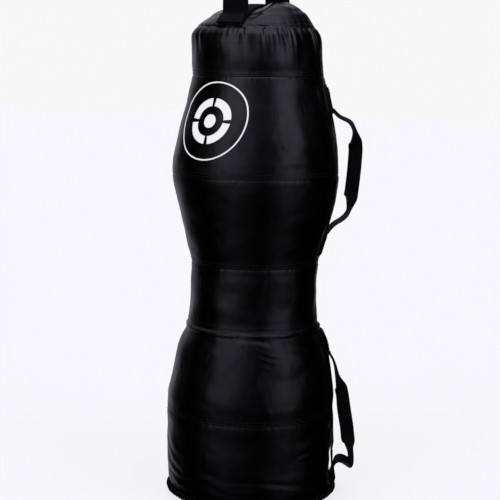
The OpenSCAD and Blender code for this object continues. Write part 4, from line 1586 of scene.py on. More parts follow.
def build_sand_sack():
    wrinkle = random_field(88, 0.022, radius=0.065)
    wave = random_field(89, 0.05, radius=0.065)
    height = SAND_TOP - SAND_LOW
    # rows: share of the radius, share of the height
    rows = [(0.004, 0), (0.45, 0), (0.80, 0), (0.90, 0.002), (0.955, 0.035), (0.985, 0.10)]
    rows += [(0.995, q) for q in np.linspace(0.17, 0.84, 14)]
    rows += [(0.985, 0.895), (0.955, 0.945), (0.90, 0.972), (0.80, 0.985), (0.60, 0.982),
             (0.40, 0.97), (0.2, 0.962), (0.004, 0.96)]

    def shape(_, radius, z, angles):
        share = z / height
        reach = radius * SAND_RADIUS
        edge = bell(share - 0.92, 0.12) + bell(share - 0.05, 0.10)
        inset = np.clip(0.5 + 0.5 * wave(angles, z) + 0.4 * wrinkle(angles, z)
                        + 0.8 * edge * np.abs(wrinkle(angles, z * 0.2)), 0.05, 3.2) * MM
        seam = 0.9 * MM * bell(share - 0.5, 0.018)
        side = ease(radius, 0.82, 0.98)
        dip = 0.6 * MM + 0.8 * MM * np.clip(1 + wrinkle(angles, 9 * reach), 0, 2.2)
        dip = dip * ease(share, 0.9, 0.95) * (1 - side * 0.5) * ease(reach, 0.0, 0.012)
        return reach - (inset + seam) * side, SAND_LOW + z - dip

    body = revolve([(r, q * height) for r, q in rows], 180, shape)
    make("sand_sack", body, SAND, "ballast_bag")


build_liner()
build_neck_cord()
build_fill()
build_sand_sack()

# section of the foot panel, in metres for a rim cord of radius 0.154: radius, height
FOOT_SECTION = [
    (0.002, 0.0), (0.02, 0.0), (0.05, 0.0), (0.08, 0.0), (0.11, 0.0), (0.128, 0.0),
    (0.138, 0.0002), (0.1435, 0.0012), (0.1475, 0.0032), (0.1502, 0.0060),
    (0.1518, 0.0090), (0.1524, 0.0118), (0.1512, 0.0120), (0.1506, 0.0092),
    (0.1490, 0.0066), (0.1466, 0.0042), (0.1430, 0.0024), (0.138, 0.0014),
    (0.128, 0.0012), (0.11, 0.0012), (0.05, 0.0012), (0.002, 0.0012),
]


def build_bottom():
    """The foot panel: a disc with a turned-up edge that the lacing grips."""
    angles = around(360)
    scale = (R_RIM + 0.001) / 0.155
    folds = fold_set(95, spacing=12, jitter=0.5, width=(1.6, 3.5), length=(6, 16),
                     depth=(0.2, 0.7), slant=0.2)
    rows = []
    for radius, z in FOOT_SECTION:
        radius = radius * scale
        wave = 0
        if radius > 0.12 and z > 0.0003:
            away = np.full(len(angles), max(0.0, 0.152 - radius))
            wave = apply_folds(angles, away, radius, folds)
        rows.append(polar(radius + wave, angles, z))
    verts, faces = capped_rows(rows, 0, 0.0012)
    faces = [face[::-1] for face in faces]
    make("cover_foot", (verts, faces, verts[:, :2]), VINYL_PATCH, "base_panel")


build_bottom()

# ------------------------------------------------------------------ webbing

WEB_WIDTH = 54 * MM
WEB_T = 2.0 * MM
WEB_COLUMNS = 21
CLOSED_ANGLE = 97.5             # half angle of a fully folded section, degrees
FOLD_BEND = 6.5 * MM            # distance from the fold line over which the sheet bends
PATCH_T = 1.0 * MM
PATCH_OFF = 0.15 * MM
PATCH_WIDTH = WEB_WIDTH + 12 * MM
TAB_OFF = PATCH_OFF + PATCH_T + 0.05 * MM
BOX_INSET = 4.5 * MM            # from a tab's edge to its box of stitches
strap_stitches = []


def edge_taper(across, width, least=0.35):
    """Share of the thickness that is left near the edges of webbing."""
    return np.minimum(1, (width / 2 - np.abs(across)) / (0.8 * MM) + least)


def sheet_section(width, thick, curve, fold):
    """Section of a webbing sheet: offsets across and outwards, and the UV across.

    A fold of 0 is flat on a round of radius curve, and 1 is folded in half.
    """
    across = np.linspace(-width / 2, width / 2, WEB_COLUMNS)
    step = across[1] - across[0]
    reach = np.abs(across)
    shut = math.radians(CLOSED_ANGLE) * ease(reach, -0.15 * FOLD_BEND, FOLD_BEND)
    tilt = (1 - fold) * reach / curve + fold * shut
    mid = WEB_COLUMNS // 2
    line = np.zeros((WEB_COLUMNS, 2))
    for i in range(mid + 1, WEB_COLUMNS):
        half = (tilt[i] + tilt[i - 1]) / 2
        line[i] = line[i - 1] + step * np.array([math.cos(half), -math.sin(half)])
    line[:mid] = line[:mid:-1] * (-1, 1)
    half_thick = thick / 2 * edge_taper(across, width)[:, None] * outward_of(line)
    section = np.vstack([line + half_thick, (line - half_thick)[::-1]])
    return section[:, 0], section[:, 1], np.concatenate([across, across[::-1] + width])


def outward_of(path):
    """Unit normals of a plane path, a quarter turn anticlockwise from its travel."""
    travel = unit(np.gradient(path, axis=0))
    return np.stack([-travel[:, 1], travel[:, 0]], -1)


def axes(angle):
    """The outward and the sideways direction at an azimuth."""
    return (np.array([math.sin(angle), -math.cos(angle), 0]),
            np.array([math.cos(angle), math.sin(angle), 0]))


def in_plane(angle, radius, z, side):
    """Points from radius, height and distance sideways in the plane of an azimuth."""
    outward, sideways = axes(angle)
    return (radius[:, None] * outward + z[:, None] * np.array([0, 0, 1.0])
            + side[:, None] * sideways)


def sweep(path, angle, widths, folds, curves, thick):
    """Sweeps a webbing section along a path of (radius, z) points at an azimuth."""
    normal = outward_of(path)
    run = run_length(path)
    verts, uv = [], []
    for i, (radius, z) in enumerate(path):
        side, out, across = sheet_section(widths[i], thick, curves[i], folds[i])
        verts.append(in_plane(angle, radius + out * normal[i, 0], z + out * normal[i, 1], side))
        uv.append(np.stack([across, np.full(len(across), run[i])], -1))
    faces = band_faces(len(path), 2 * WEB_COLUMNS)
    return np.vstack(verts), faces, np.vstack(uv)


def patch_mesh(angle, low, high, width, thick, off, corner=6 * MM, columns=34, rows=40):
    """A rounded rectangle of cloth lying on the bag."""
    x, z = np.meshgrid(np.linspace(-width / 2, width / 2, columns),
                       np.linspace(low, high, rows))
    mid, half_w, half_h = (low + high) / 2, width / 2, (high - low) / 2
    share_x, share_z = np.abs(x) / half_w, np.abs(z - mid) / half_h
    # squeeze the corners round
    corner_x = np.clip((np.abs(x) - (half_w - corner)) / corner, 0, 1)
    corner_z = np.clip((np.abs(z - mid) - (half_h - corner)) / corner, 0, 1)
    squeeze = np.where(
        (corner_x > 0) & (corner_z > 0),
        np.maximum(corner_x, corner_z) / np.maximum(np.hypot(corner_x, corner_z), 1e-9), 1.0)
    round_x = np.sign(x) * ((half_w - corner) + corner_x * squeeze * corner)
    round_z = mid + np.sign(z - mid) * ((half_h - corner) + corner_z * squeeze * corner)
    x = np.where(corner_x > 0, round_x, x)
    # rows beside the corners move to the start of the corner's height only if past it
    sign_z = np.sign(z - mid)
    z = np.where(corner_z > 0, round_z, sign_z * (half_h - corner) + mid) \
        if PATCH_SNAP else np.where(corner_z > 0, round_z, z)
    inset = np.minimum((1 - share_x) * half_w, (1 - share_z) * half_h)
    edge = np.minimum(1, inset / (1.2 * MM))
    ground, normal = surface(angle + x / base_radius(z), z)
    top = ground + normal * (off + thick * (0.35 + 0.65 * edge))[..., None]
    uv = np.vstack([np.stack([x.ravel(), z.ravel()], -1)] * 2)
    return (*thin_sheet(top, ground + normal * off), uv)


PATCH_SNAP = False


def walk(corners, pitch):
    """Evenly spaced points along a polyline of (across, z), and their directions."""
    points, headings = [], []
    for (x0, z0), (x1, z1) in zip(corners[:-1], corners[1:]):
        length = math.hypot(x1 - x0, z1 - z0)
        count = max(1, int(round(length / pitch)))
        for i in range(count):
            share = (i + 0.5) / count
            points.append((x0 + (x1 - x0) * share, z0 + (z1 - z0) * share))
            headings.append(((x1 - x0) / length, (z1 - z0) / length))
    return np.array(points), np.array(headings)


def line_on_bag(angle, corners, off, seed, pitch=3.6 * MM):
    """Stitches along a polyline on the bag near an azimuth."""
    points, headings = walk(corners, pitch)
    radius = base_radius(points[:, 1])
    # the second point lies a tangent step further along
    start, normal = surface(angle + points[:, 0] / radius, points[:, 1], off)
    step = points + headings * TANGENT_STEP
    ahead, _ = surface(angle + step[:, 0] / radius, step[:, 1], off)
    return stitches(start, ahead - start, normal, length=pitch * STITCH_FILL, seed=seed)


def rectangle(half, low, high):
    return [(-half, low), (half, low), (half, high), (-half, high), (-half, low)]


def crossed_box(half, low, high):
    return [rectangle(half, low, high), [(-half, low), (half, high)],
            [(half, low), (-half, high)]]


# ------------------------------------------------------------------ handles

# Outer edge of each handle seen from the side, from the top tab to the bottom one:
# radius, height (mm), opening angle of the fold (degrees, 0 is flat)
UPPER_EDGE = [
    (143.4, 730.0, 2), (150.1, 722.9, 8), (158.8, 715.6, 12), (168.9, 711.6, 15),
    (179.3, 705.9, 14.5), (185.2, 695.4, 9), (189.2, 686.4, 10), (194.2, 677.9, 33),
    (198.4, 668.7, 68), (199.8, 655, 97.5), (199.8, 646.8, 97.5), (199.2, 635, 97.5),
    (198.6, 623.9, 97.5), (197.7, 612, 97.5), (196.5, 599.3, 97.5), (195.0, 584, 97.5),
    (193.4, 570, 96), (191.6, 557.5, 66), (185.0, 546.2, 24), (179.5, 535.6, 7),
    (172.7, 526.2, 5), (163.4, 518.3, 5), (153.3, 512.2, 5), (145.2, 505.2, 4),
    (139.6, 497.6, 2),
]
LOWER_EDGE = [
    (143.6, 275.0, 3), (151.8, 261.8, 5), (158.8, 247.2, 5), (162.6, 234.4, 6),
    (166.2, 223.8, 12), (172.3, 214.6, 30), (180.2, 204.4, 66), (183.4, 193.0, 97.5),
    (185.2, 183.8, 97.5), (188.2, 165.0, 97.5), (191.3, 146.9, 97.5), (194.9, 126, 97.5),
    (196.8, 110, 97.5), (198.2, 99, 90), (198.4, 90.5, 62), (195.6, 82.6, 34),
    (196.2, 75.7, 24), (197.2, 62, 17), (196.6, 47.4, 18), (190.8, 40.4, 25),
    (183.4, 44.4, 28), (176.5, 49.6, 25), (170.2, 52.4, 22), (165.4, 52.6, 16),
    (162.4, 49.8, 9),
]
# edge, distances of its ends from the seat, last opening angles, narrowing near z = 0.19
HANDLES = {
    "upper": dict(edge=UPPER_EDGE, gaps=(5.0 * MM, 3.0 * MM), last=(0, 0), narrowing=0.0),
    "lower": dict(edge=LOWER_EDGE, gaps=(1.8 * MM, 1.0 * MM), last=(3, 0),
                  narrowing=3.2 * MM),
}
GRIP_REACH = 30.2 * MM          # least distance of a closed grip's edge from the seat
STRIP_STEP = 2.6 * MM
STRIP_LAYER = 2.12 * MM         # from the strip's centre to the webbing sewn on it
# the soft roll inside the grip: depth of its centre, half depth, half thickness
ROLL_DEPTH, ROLL_HALF, ROLL_THICK = 7.4 * MM, 4.0 * MM, 1.45 * MM


def cloth_patch(angle, low, high, seed):
    """A sewn patch of cover cloth."""
    inset = 2.6 * MM
    outline = rectangle(PATCH_WIDTH / 2 - inset, low + inset, high - inset)
    strap_stitches.append(line_on_bag(angle, outline, PATCH_OFF + PATCH_T, seed))
    return patch_mesh(angle, low, high, PATCH_WIDTH, PATCH_T, PATCH_OFF)


class Strip:
    """The strip that runs down behind a lower handle."""

    def __init__(self, angle):
        self.angle = angle
        self.heights = np.linspace(0.018, 0.316, 90)
        across = angle + np.linspace(-0.022, 0.022, 9) / 0.155
        radii = np.array([np.median(surface_radius(across, np.full(9, z))
                                    - side_dent(across, np.full(9, z)))
                          for z in self.heights])
        for _ in range(3):
            radii[1:-1] = (radii[:-2] + radii[1:-1] * 2 + radii[2:]) / 4
        self.radii = radii

    def flat(self, z):
        """1 where the strip hangs free and flat, 0 where it follows the bag."""
        return ease(z, 0.024, 0.042) * (1 - ease(z, 0.080, 0.104))

    def radius(self, z):
        return np.interp(z, self.heights, self.radii) + 2.3 * MM - 3.6 * MM * self.flat(z)

    def curve(self, z, out):
        return (self.radius(z) + out) / np.maximum(1e-3, 1 - self.flat(z))

    def band(self, low, high, out, width, thick):
        """A band that follows the strip at a distance outside its centre line."""
        count = max(4, int((high - low) / STRIP_STEP))
        z = np.linspace(high, low, count)
        path = np.stack([self.radius(z) + out, z], -1)
        verts, faces, uv = sweep(path, self.angle, np.full(count, width), np.zeros(count),
                                 self.curve(z, out), thick)
        return tilt_strip(verts, self.angle, self.flat(verts[:, 2])), faces, uv

    def point(self, across, z, out):
        """Points on the strip, and their normals."""
        outward, sideways = axes(self.angle)
        curve = self.curve(z, out)
        cos = np.cos(across / curve)[:, None]
        sin = np.sin(across / curve)[:, None]
        points = ((self.radius(z) + out)[:, None] - curve[:, None] * (1 - cos)) * outward
        points = points + curve[:, None] * sin * sideways
        points[:, 2] = z
        return (tilt_strip(points, self.angle, self.flat(z)), cos * outward + sin * sideways)

    def stitch_line(self, corners, out, seed, pitch=3.4 * MM):
        points, headings = walk(corners, pitch)
        start, normal = self.point(points[:, 0], points[:, 1], out)
        step = points + headings * 0.001
        ahead, _ = self.point(step[:, 0], step[:, 1], out)
        strap_stitches.append(
            stitches(start, ahead - start, normal, length=pitch * STITCH_FILL, seed=seed))


def tilt_strip(verts, angle, amount):
    """The free part of the strip hangs a little twisted, its front edge nearer the bag."""
    outward, sideways = axes(angle)
    return verts + outward * (math.copysign(0.113, angle) * (verts @ sideways) * amount)[:, None]


# Both fix functions return the patches, the tabs, the seat radius as a function of height,
# the height where the lower tab ends, and how flat the strip is there.


def fix_to_bag(angle, top_tab, low_tab):
    """The upper handle's tabs are sewn through patches on the bag."""
    patches, tabs = [], []
    for low, high in (top_tab, low_tab):
        patch_low = low - 5 * MM
        if low < 0.55:
            patch_low = max(patch_low, SEAMS[2] + 9.8 * MM)
        seed = int(low * 1000)
        patches.append(cloth_patch(angle, patch_low, high + 6 * MM, seed))
        tabs.append(patch_mesh(angle, low, high, WEB_WIDTH, WEB_T, TAB_OFF,
                               corner=0.8 * MM, columns=30, rows=30))
        for line in crossed_box(WEB_WIDTH / 2 - BOX_INSET, low + BOX_INSET, high - BOX_INSET):
            strap_stitches.append(
                line_on_bag(angle, line, TAB_OFF + WEB_T, seed + 7, pitch=3.3 * MM))

    def seat(z):
        across = np.linspace(-0.020, 0.020, 9)
        ground = np.median(surface_radius(angle + across / 0.14, np.full(9, z)))
        return float(ground) + TAB_OFF + WEB_T / 2

    return patches, tabs, seat, low_tab[1], 0.0


def fix_to_strip(angle, top_tab, low_tab):
    """The lower handle's tabs are sewn to a strip that runs down to the foot."""
    strip = Strip(angle)
    low_end = low_tab[1] - 8.5 * MM
    sewn = (top_tab, (low_tab[0] + 0.5 * MM, low_end))
    patches = [cloth_patch(angle, top_tab[0] - 5 * MM, top_tab[1] + 6 * MM, 31),
               strip.band(Z_FOOT + 3.6 * MM, 0.098, -1.65 * MM, PATCH_WIDTH, PATCH_T)]
    tabs = [strip.band(Z_FOOT + 4.6 * MM, top_tab[1] + 1.5 * MM, 0.0, WEB_WIDTH, 2.1 * MM)]
    tabs += [strip.band(low, high, STRIP_LAYER, WEB_WIDTH, WEB_T) for low, high in sewn]
    for low, high in sewn:
        for line in crossed_box(WEB_WIDTH / 2 - BOX_INSET, low + BOX_INSET,
                                high - BOX_INSET * 0.8):
            strip.stitch_line(line, STRIP_LAYER + WEB_T / 2, int(low * 1000) + 9)
    edge = WEB_WIDTH / 2 - 3.2 * MM
    for x in (-edge, edge):
        line = [(x, low_tab[1] + 12 * MM), (x, top_tab[0] - 3 * MM)]
        strip.stitch_line(line, 1.05 * MM, 41)

    def seat(z):
        return float(strip.radius(z)) + STRIP_LAYER

    return patches, tabs, seat, low_end, float(strip.flat(low_end))


def handle_path(spec, side, seat, top_end, low_end):
    """Path of the fold line, its run length and the fold's opening angle."""
    edge = np.array(spec["edge"])
    opening = list(edge[:, 2])
    # the fold line lies half a thickness inside the outer edge
    free = edge[:, :2] * MM
    free = free - outward_of(free) * (WEB_T / 2)
    if side == "left":
        # the ends sit where that side's surface is
        shift_top = seat(top_end - 0.001) - (free[0][0] - spec["gaps"][0])
        shift_low = seat(low_end + 0.001) - (free[-1][0] - spec["gaps"][1])
        for i in range(6):
            free[i][0] += shift_top * (1 - ease(i, -0.5, 6))
            free[-1 - i][0] += shift_low * (1 - ease(i, -0.5, 6))
        # and the grip keeps clear of it
        deep = [i for i, angle in enumerate(opening) if angle > 90]
        push = max(0.0, max(seat(free[i][1]) + GRIP_REACH - free[i][0] for i in deep))
        for i in range(len(free)):
            free[i][0] += (push * ease(i, 1.0, deep[0] - 1.0)
                           * (1 - ease(i, deep[-1] + 1.0, len(free) - 2.0)))
    ends = [[(seat(z), z) for z in heights] for heights in (
        (top_end + 0.0010, top_end - 0.0015), (low_end + 0.0012, low_end - 0.0012))]
    path = catmull(np.vstack([ends[0], free, ends[1]]), 8)
    run = run_length(path)
    where = np.linspace(0, run[-1], int(run[-1] / 0.0018))
    path = interp_rows(where, run, path)
    opening = np.interp(where, run[::8], [0, 0, *opening, *spec["last"]])
    path = np.stack([soften(path[:, i], 2) for i in range(2)], -1)
    return path, where, soften(opening, 2)


def grip_roll(name, angle, centre, body):
    """The soft roll inside the closed grip."""
    inward = -outward_of(centre)
    turn = around(20)
    depth = np.sign(np.cos(turn)) * np.abs(np.cos(turn)) ** 0.6 * ROLL_HALF
    side = np.sign(np.sin(turn)) * np.abs(np.sin(turn)) ** 0.8 * ROLL_THICK
    rows = []
    for i in range(0, len(centre), 2):
        radius, z = centre[i] + inward[i] * ROLL_DEPTH
        rows.append(in_plane(angle, radius + inward[i][0] * depth, z + inward[i][1] * depth,
                             side * (1 + 0.06 * math.sin(i * 0.9))))
    shape = (np.vstack(rows), rod_faces(len(rows), 20), None)
    make(f"{name}_grip_roll", shape, FILLER, f"{name}_grip_core", body)


def grip_thread(name, angle, grip, body):
    """Stitching along the closed edges of the grip, on both faces."""
    sideways = axes(angle)[1]
    middle = grip.mean(axis=1)
    rows = []
    for j in (3, grip.shape[1] // 2 - 4):
        line = grip[:, j]
        run = run_length(line)
        where = spaced(run[-1], 4.0 * MM)
        travel = np.gradient(line, axis=0)
        normal = unit(np.cross(grip[:, j + 1] - grip[:, j - 1], travel))
        wanted = np.sign((line - middle) @ sideways)
        normal *= (np.sign(normal @ sideways) * wanted)[:, None]
        rows.append([interp_rows(where, run, values) for values in (line, travel, normal)])
    points, travels, normals = (np.vstack(values) for values in zip(*rows))
    shape = stitches(points, travels, normals, seed=300, length=3.0 * MM)
    make(f"{name}_grip_thread", shape, THREAD_GRIP, body=body)


def build_handle(level, side):
    name = f"{level}_{side}"
    body = f"{name}_handle"
    spec = HANDLES[level]
    tabs = node_points(f"{body}_tabs")
    middle = sum(z_range(tabs)) / 2
    top_points = tabs[tabs[:, 2] > middle]
    top_tab, low_tab = z_range(top_points), z_range(tabs[tabs[:, 2] < middle])
    angle = math.atan2(top_points[:, 0].mean(), -top_points[:, 1].mean())
    top_end = top_tab[0]
    fix = fix_to_bag if level == "upper" else fix_to_strip
    patches, webs, seat, low_end, flat_end = fix(angle, top_tab, low_tab)
    make(f"{name}_patches", join(patches), VINYL_PATCH, f"{body}_patches")
    make(f"{name}_tabs", join(webs), WEBBING, f"{body}_tabs")

    path, run, opening = handle_path(spec, side, seat, top_end, low_end)
    left = run[-1] - run
    first_half = run < run[-1] / 2
    curves = np.where(first_half, seat(top_end) + (run / 0.03) * 0.4,
                      seat(low_end) + (left / 0.03) * 0.4 + 4.0 * flat_end)
    widths = WEB_WIDTH + 0.25 * MM * np.sin(run / 0.017)
    widths = widths - spec["narrowing"] * bell(path[:, 1] - 0.190, 0.020) * first_half
    verts, _, uv = sweep(path, angle, widths, opening / CLOSED_ANGLE, curves, WEB_T)
    columns = 2 * WEB_COLUMNS
    tilt = flat_end * (1 - ease(left, 0.004, 0.034))
    verts = tilt_strip(verts, angle, np.repeat(tilt, columns))
    rings, uv = verts.reshape(-1, columns, 3), uv.reshape(-1, columns, 2)
    closed = np.nonzero(opening > 70)[0]
    grip_start, grip_end = int(closed[0]) + 3, int(closed[-1]) - 3

    def cut(start, end):
        return (rings[start:end + 1].reshape(-1, 3), band_faces(end - start + 1, columns),
                uv[start:end + 1].reshape(-1, 2))

    straps = f"{body}_straps"
    top = make(f"{name}_strap_top", cut(0, grip_start), WEBBING, straps, None)
    low = make(f"{name}_strap_low", cut(grip_end, len(path) - 1), WEBBING, straps,
               None)
    make(f"{name}_grip", cut(grip_start, grip_end), WEBBING, f"{name}_grip_wrap",
         body)

    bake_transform(top)
    if level == "upper":
        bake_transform(low)
    else:
        # the lower strap doubles back; its point at the seat is found but not used
        at_seat = np.array([seat(low_end), low_end])
        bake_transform(low)
    grip_roll(name, angle, path[grip_start:grip_end + 1], body)
    grip_thread(name, angle, rings[grip_start + 2:grip_end - 1], body)


for handle_level in ("upper", "lower"):
    for handle_side in ("right", "left"):
        build_handle(handle_level, handle_side)

# ------------------------------------------------------------------ crown strap and hang loop

loop_points = node_points("loop_webbing")
LOOP_WIDTH = loop_points[:, 0].max() - loop_points[:, 0].min()
LOOP_RADIUS = np.abs(node_points("loop_root_straps")[:, 1]).mean()
LOOP_LOW, LOOP_TOP = z_range(loop_points)
LOOP_COLUMNS = 15
ARCH_FOOT = LOOP_LOW - 1.2 * MM
ARCH_HALF = LOOP_RADIUS + 0.4 * MM
STRAP_REACH = np.abs(node_points("crown_strap")[:, 1]).max()
STRAP_OFF = 0.55 * MM
LAYER_GAP = 0.05 * MM
LAYER_STEP = WEB_T + LAYER_GAP
INNER_WIDTH, OUTER_WIDTH = LOOP_WIDTH - 0.4 * MM, LOOP_WIDTH - 0.2 * MM


def build_crown_strap():
    x, y = np.meshgrid(np.linspace(-LOOP_WIDTH / 2, LOOP_WIDTH / 2, 19),
                       np.linspace(-STRAP_REACH + 0.0012, STRAP_REACH - 0.0012, 120))
    reach = np.hypot(x, y)
    on_dome = np.minimum(reach, R_CROWN + 0.0002)
    z = dome_height(on_dome) - np.where(reach > R_CROWN, reach - R_CROWN, 0)
    slope = dome_slope(on_dome)
    normal_z = 1 / np.sqrt(1 + slope**2)
    lean_in = -slope * normal_z / np.maximum(reach, 1e-6)
    normal = np.stack([lean_in * x, lean_in * y, normal_z], -1)
    middle = np.stack([x, y, z], -1) + normal * (STRAP_OFF + WEB_T / 2)
    half = normal * (WEB_T / 2) * edge_taper(x, LOOP_WIDTH, least=0.3)[..., None]
    uv = np.vstack([np.stack([x.ravel(), y.ravel()], -1)] * 2)
    shape = (*thin_sheet(middle + half, middle - half), uv)
    make("crown_strap_webbing", shape, WEBBING_CROWN, "crown_strap")


def band(path, normals, width):
    """Sweeps a flat webbing section that lies across X along a path."""
    across = np.linspace(-width / 2, width / 2, LOOP_COLUMNS)
    half = WEB_T / 2 * edge_taper(across, width)
    side = np.concatenate([across, across[::-1]])
    out = np.concatenate([half, -half[::-1]])
    verts = (path[:, None] + np.array([1.0, 0, 0]) * side[None, :, None]
             + normals[:, None] * out[None, :, None])
    uv = np.stack([np.tile(np.concatenate([across, across[::-1] + width]), len(path)),
                   np.repeat(run_length(path), len(side))], -1)
    return verts.reshape(-1, 3), band_faces(len(path), len(side)), uv


def path_normals(path, sign):
    """Normals of a path in the YZ plane that start off outwards on the side of sign."""
    travel = unit(np.gradient(path, axis=0))
    normals = np.cross(np.array([1.0, 0, 0]), travel)
    return -normals if normals[0] @ np.array([0, sign, 0.5]) < 0 else normals


def double_band(path, sign):
    """Two layers of webbing, the outer one a little wider."""
    outer = path + path_normals(path, sign) * LAYER_STEP
    return [band(path, path_normals(path, sign), INNER_WIDTH),
            band(outer, path_normals(outer, sign), OUTER_WIDTH)]


def sewn_path(sign):
    """Path of a loop end that lies on the crown strap, from the rim inwards."""
    off = STRAP_OFF + WEB_T + WEB_T / 2 + LAYER_GAP
    points = []
    for reach in np.linspace(STRAP_REACH - 0.0026, LOOP_RADIUS + 0.0085, 12):
        on_dome = min(reach, R_CROWN - 0.0001)
        slope = float(dome_slope(on_dome))
        normal_z = 1 / math.sqrt(1 + slope * slope)
        normal = np.array([0, -slope * normal_z * sign, normal_z])
        point = np.array([0, sign * on_dome, float(dome_height(on_dome))]) + normal * off
        if reach > R_CROWN:
            point = point + np.array([0, sign * (reach - R_CROWN), -(reach - R_CROWN)])
        points.append(point)
    return np.array(points)


def root_path(sewn, sign):
    """Path of the turn upwards from a sewn end to the arch."""
    base = sewn[-1][2]
    # distance beyond the loop's radius, height
    stations = [(0.0022, base + 0.0042), (0.0004, base + 0.0095), (0.0006, base + 0.0180),
                (0.0004, ARCH_FOOT)]
    turn = [(0, sign * (LOOP_RADIUS + out), z) for out, z in stations]
    return catmull(np.vstack([sewn[-2:], turn]), 8)[8:]


def arch_path():
    top = LOOP_TOP - 0.0025
    spring = LOOP_LOW + 0.006
    points = [(0, -ARCH_HALF, ARCH_FOOT)]
    for turn in PI * np.arange(91) / 90:
        points.append((0, -ARCH_HALF * math.cos(turn),
                       spring + (top - spring) * max(math.sin(turn), 0.0) ** 0.86))
    points = np.array(points + [(0, ARCH_HALF, ARCH_FOOT)])
    run = run_length(points)
    points = interp_rows(np.linspace(0, run[-1], 130), run, points)
    return np.stack([soften(points[:, i], 3) for i in range(3)], -1)


def build_arch():
    """The arch, two layers sewn along both edges."""
    path = arch_path()
    normals = path_normals(path, -1)
    travel = unit(np.gradient(path, axis=0))
    layers = [band(path, normals, INNER_WIDTH),
              band(path + normals * LAYER_STEP, normals, OUTER_WIDTH)]
    make("loop_arch", join(layers), WEBBING, "loop_webbing", "hang_loop")
    parts = []
    edge = LOOP_WIDTH / 2 - 0.0045
    for x in (-edge, edge):
        # the inner face, then the outer one
        for face, (off, sign) in enumerate(((-WEB_T / 2, -1), (WEB_T / 2 + LAYER_STEP, 1))):
            line = path + normals * off + np.array([x, 0, 0])
            run = run_length(line)
            where = spaced(run[-1], 4.2 * MM)
            parts.append(stitches(interp_rows(where, run, line),
                                  interp_rows(where, run, travel),
                                  interp_rows(where, run, normals) * sign, seed=400 + face))
    make("loop_thread", join(parts), THREAD_GRIP, body="hang_loop")


def stitch_sewn_end(path, sign):
    """Bars across a sewn end and a row along both its edges, through both layers."""
    travel = unit(np.gradient(path, axis=0))
    normals = path_normals(path, sign)
    top = path + normals * (WEB_T * 1.5 + LAYER_GAP)
    run = run_length(top)
    half, pitch = LOOP_WIDTH / 2 - 4.0 * MM, 3.4 * MM
    # stations: distance along, distance across, whether the stitch lies across
    stations = [(where, x + pitch / 2, True)
                for where in np.linspace(3 * MM, run[-1] - 2 * MM, 4)
                for x in np.arange(-half, half, pitch)]
    stations += [(where, x, False) for x in (-half, half)
                 for where in np.arange(4.5 * MM, run[-1] - 3 * MM, pitch)]
    points, headings, ups = [], [], []
    for where, x, across in stations:
        points.append(interp_rows(where, run, top) + np.array([x, 0, 0]))
        headings.append((1, 0, 0) if across else interp_rows(where, run, travel))
        ups.append(interp_rows(where, run, normals))
    strap_stitches.append(stitches(points, headings, ups, seed=500, length=2.6 * MM))


def build_hang_loop():
    sewn = [(sewn_path(sign), sign) for sign in (-1, 1)]
    roots = [(root_path(path, sign), sign) for path, sign in sewn]
    ends = [layer for path, sign in sewn for layer in double_band(path, sign)]
    make("loop_sewn_ends", join(ends), WEBBING_CROWN, "strap_stitching")
    turns = [layer for path, sign in roots for layer in double_band(path, sign)]
    root = make("loop_root", join(turns), WEBBING, "loop_root_straps", None)
    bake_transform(root)
    build_arch()
    for path, sign in sewn:
        stitch_sewn_end(path, sign)
    make("strap_thread", join(strap_stitches), THREAD, "strap_stitching")


build_crown_strap()
build_hang_loop()

# ------------------------------------------------------------------ stage, light and camera

FLOOR_HALF = 14.0


def build_floor():
    """A pale floor that glows for the camera and takes the bag's shadow."""
    mesh = bpy.data.meshes.new("floor")
    corners = [(x * FLOOR_HALF, y * FLOOR_HALF, 0) for x, y in ((-1, -1), (1, -1), (1, 1), (-1, 1))]
    mesh.from_pydata(corners, [], [(0, 1, 2, 3)])
    floor = bpy.data.objects.new("floor", mesh)
    COLLECTION.objects.link(floor)
    material, graph = new_material("floor_pale")
    glow = graph.node("ShaderNodeEmission", {"Color": (1, 1, 1, 1), "Strength": 0.775})
    graph.drive(Base_Color=rgba(0.40), Roughness=0.9, Specular_IOR_Level=0.0)
    nodes = material.node_tree.nodes
    both = graph.node("ShaderNodeAddShader",
                      {0: glow.outputs[0], 1: nodes["Principled BSDF"].outputs[0]})
    graph.set(nodes["Material Output"].inputs["Surface"], both.outputs[0])
    mesh.materials.append(material)
    floor.visible_glossy = False
    floor.visible_diffuse = False


# brightness round the compass: degrees from the viewer's side (+ is the viewer's right)
FRONT_LIGHTS = [
    (-180, 0), (-100, 0), (-88, 0.005), (-76, 0.02), (-66, 0.10), (-55, 0.54), (-44, 0.74),
    (-31, 0.54), (-18, 0.34), (-7, 0.19), (4, 0.09), (14, 0.03), (22, 0.09), (30, 0.30),
    (41, 0.62), (53, 0.78), (64, 0.40), (74, 0.08), (84, 0.01), (94, 0.0), (180, 0),
]
BACK_LIGHT = [
    (-180, 0.46), (-158, 0.46), (-148, 0.36), (-138, 0.17), (-128, 0.07), (-118, 0.025),
    (-106, 0.0), (140, 0.0), (148, 0.012), (157, 0.07), (166, 0.26), (173, 0.42), (180, 0.46),
]
# how much of the front lights is left at each elevation, degrees
FRONT_ELEVATION = [
    (-90, 0.10), (-36, 0.12), (-26, 0.26), (-18, 0.24), (-12, 0.30), (-6, 0.52), (0, 0.86),
    (6, 1.0), (45, 1.0), (62, 0.8), (90, 0.5),
]
OVERHEAD = dict(rise=(34, 66), fall=(99, 95), strength=0.50)     # elevations, degrees
AMBIENT = 0.001
LIGHT_TINT = (0.955, 0.935, 1.12, 1)
BACKDROP = 0.933                # what the camera sees behind the bag


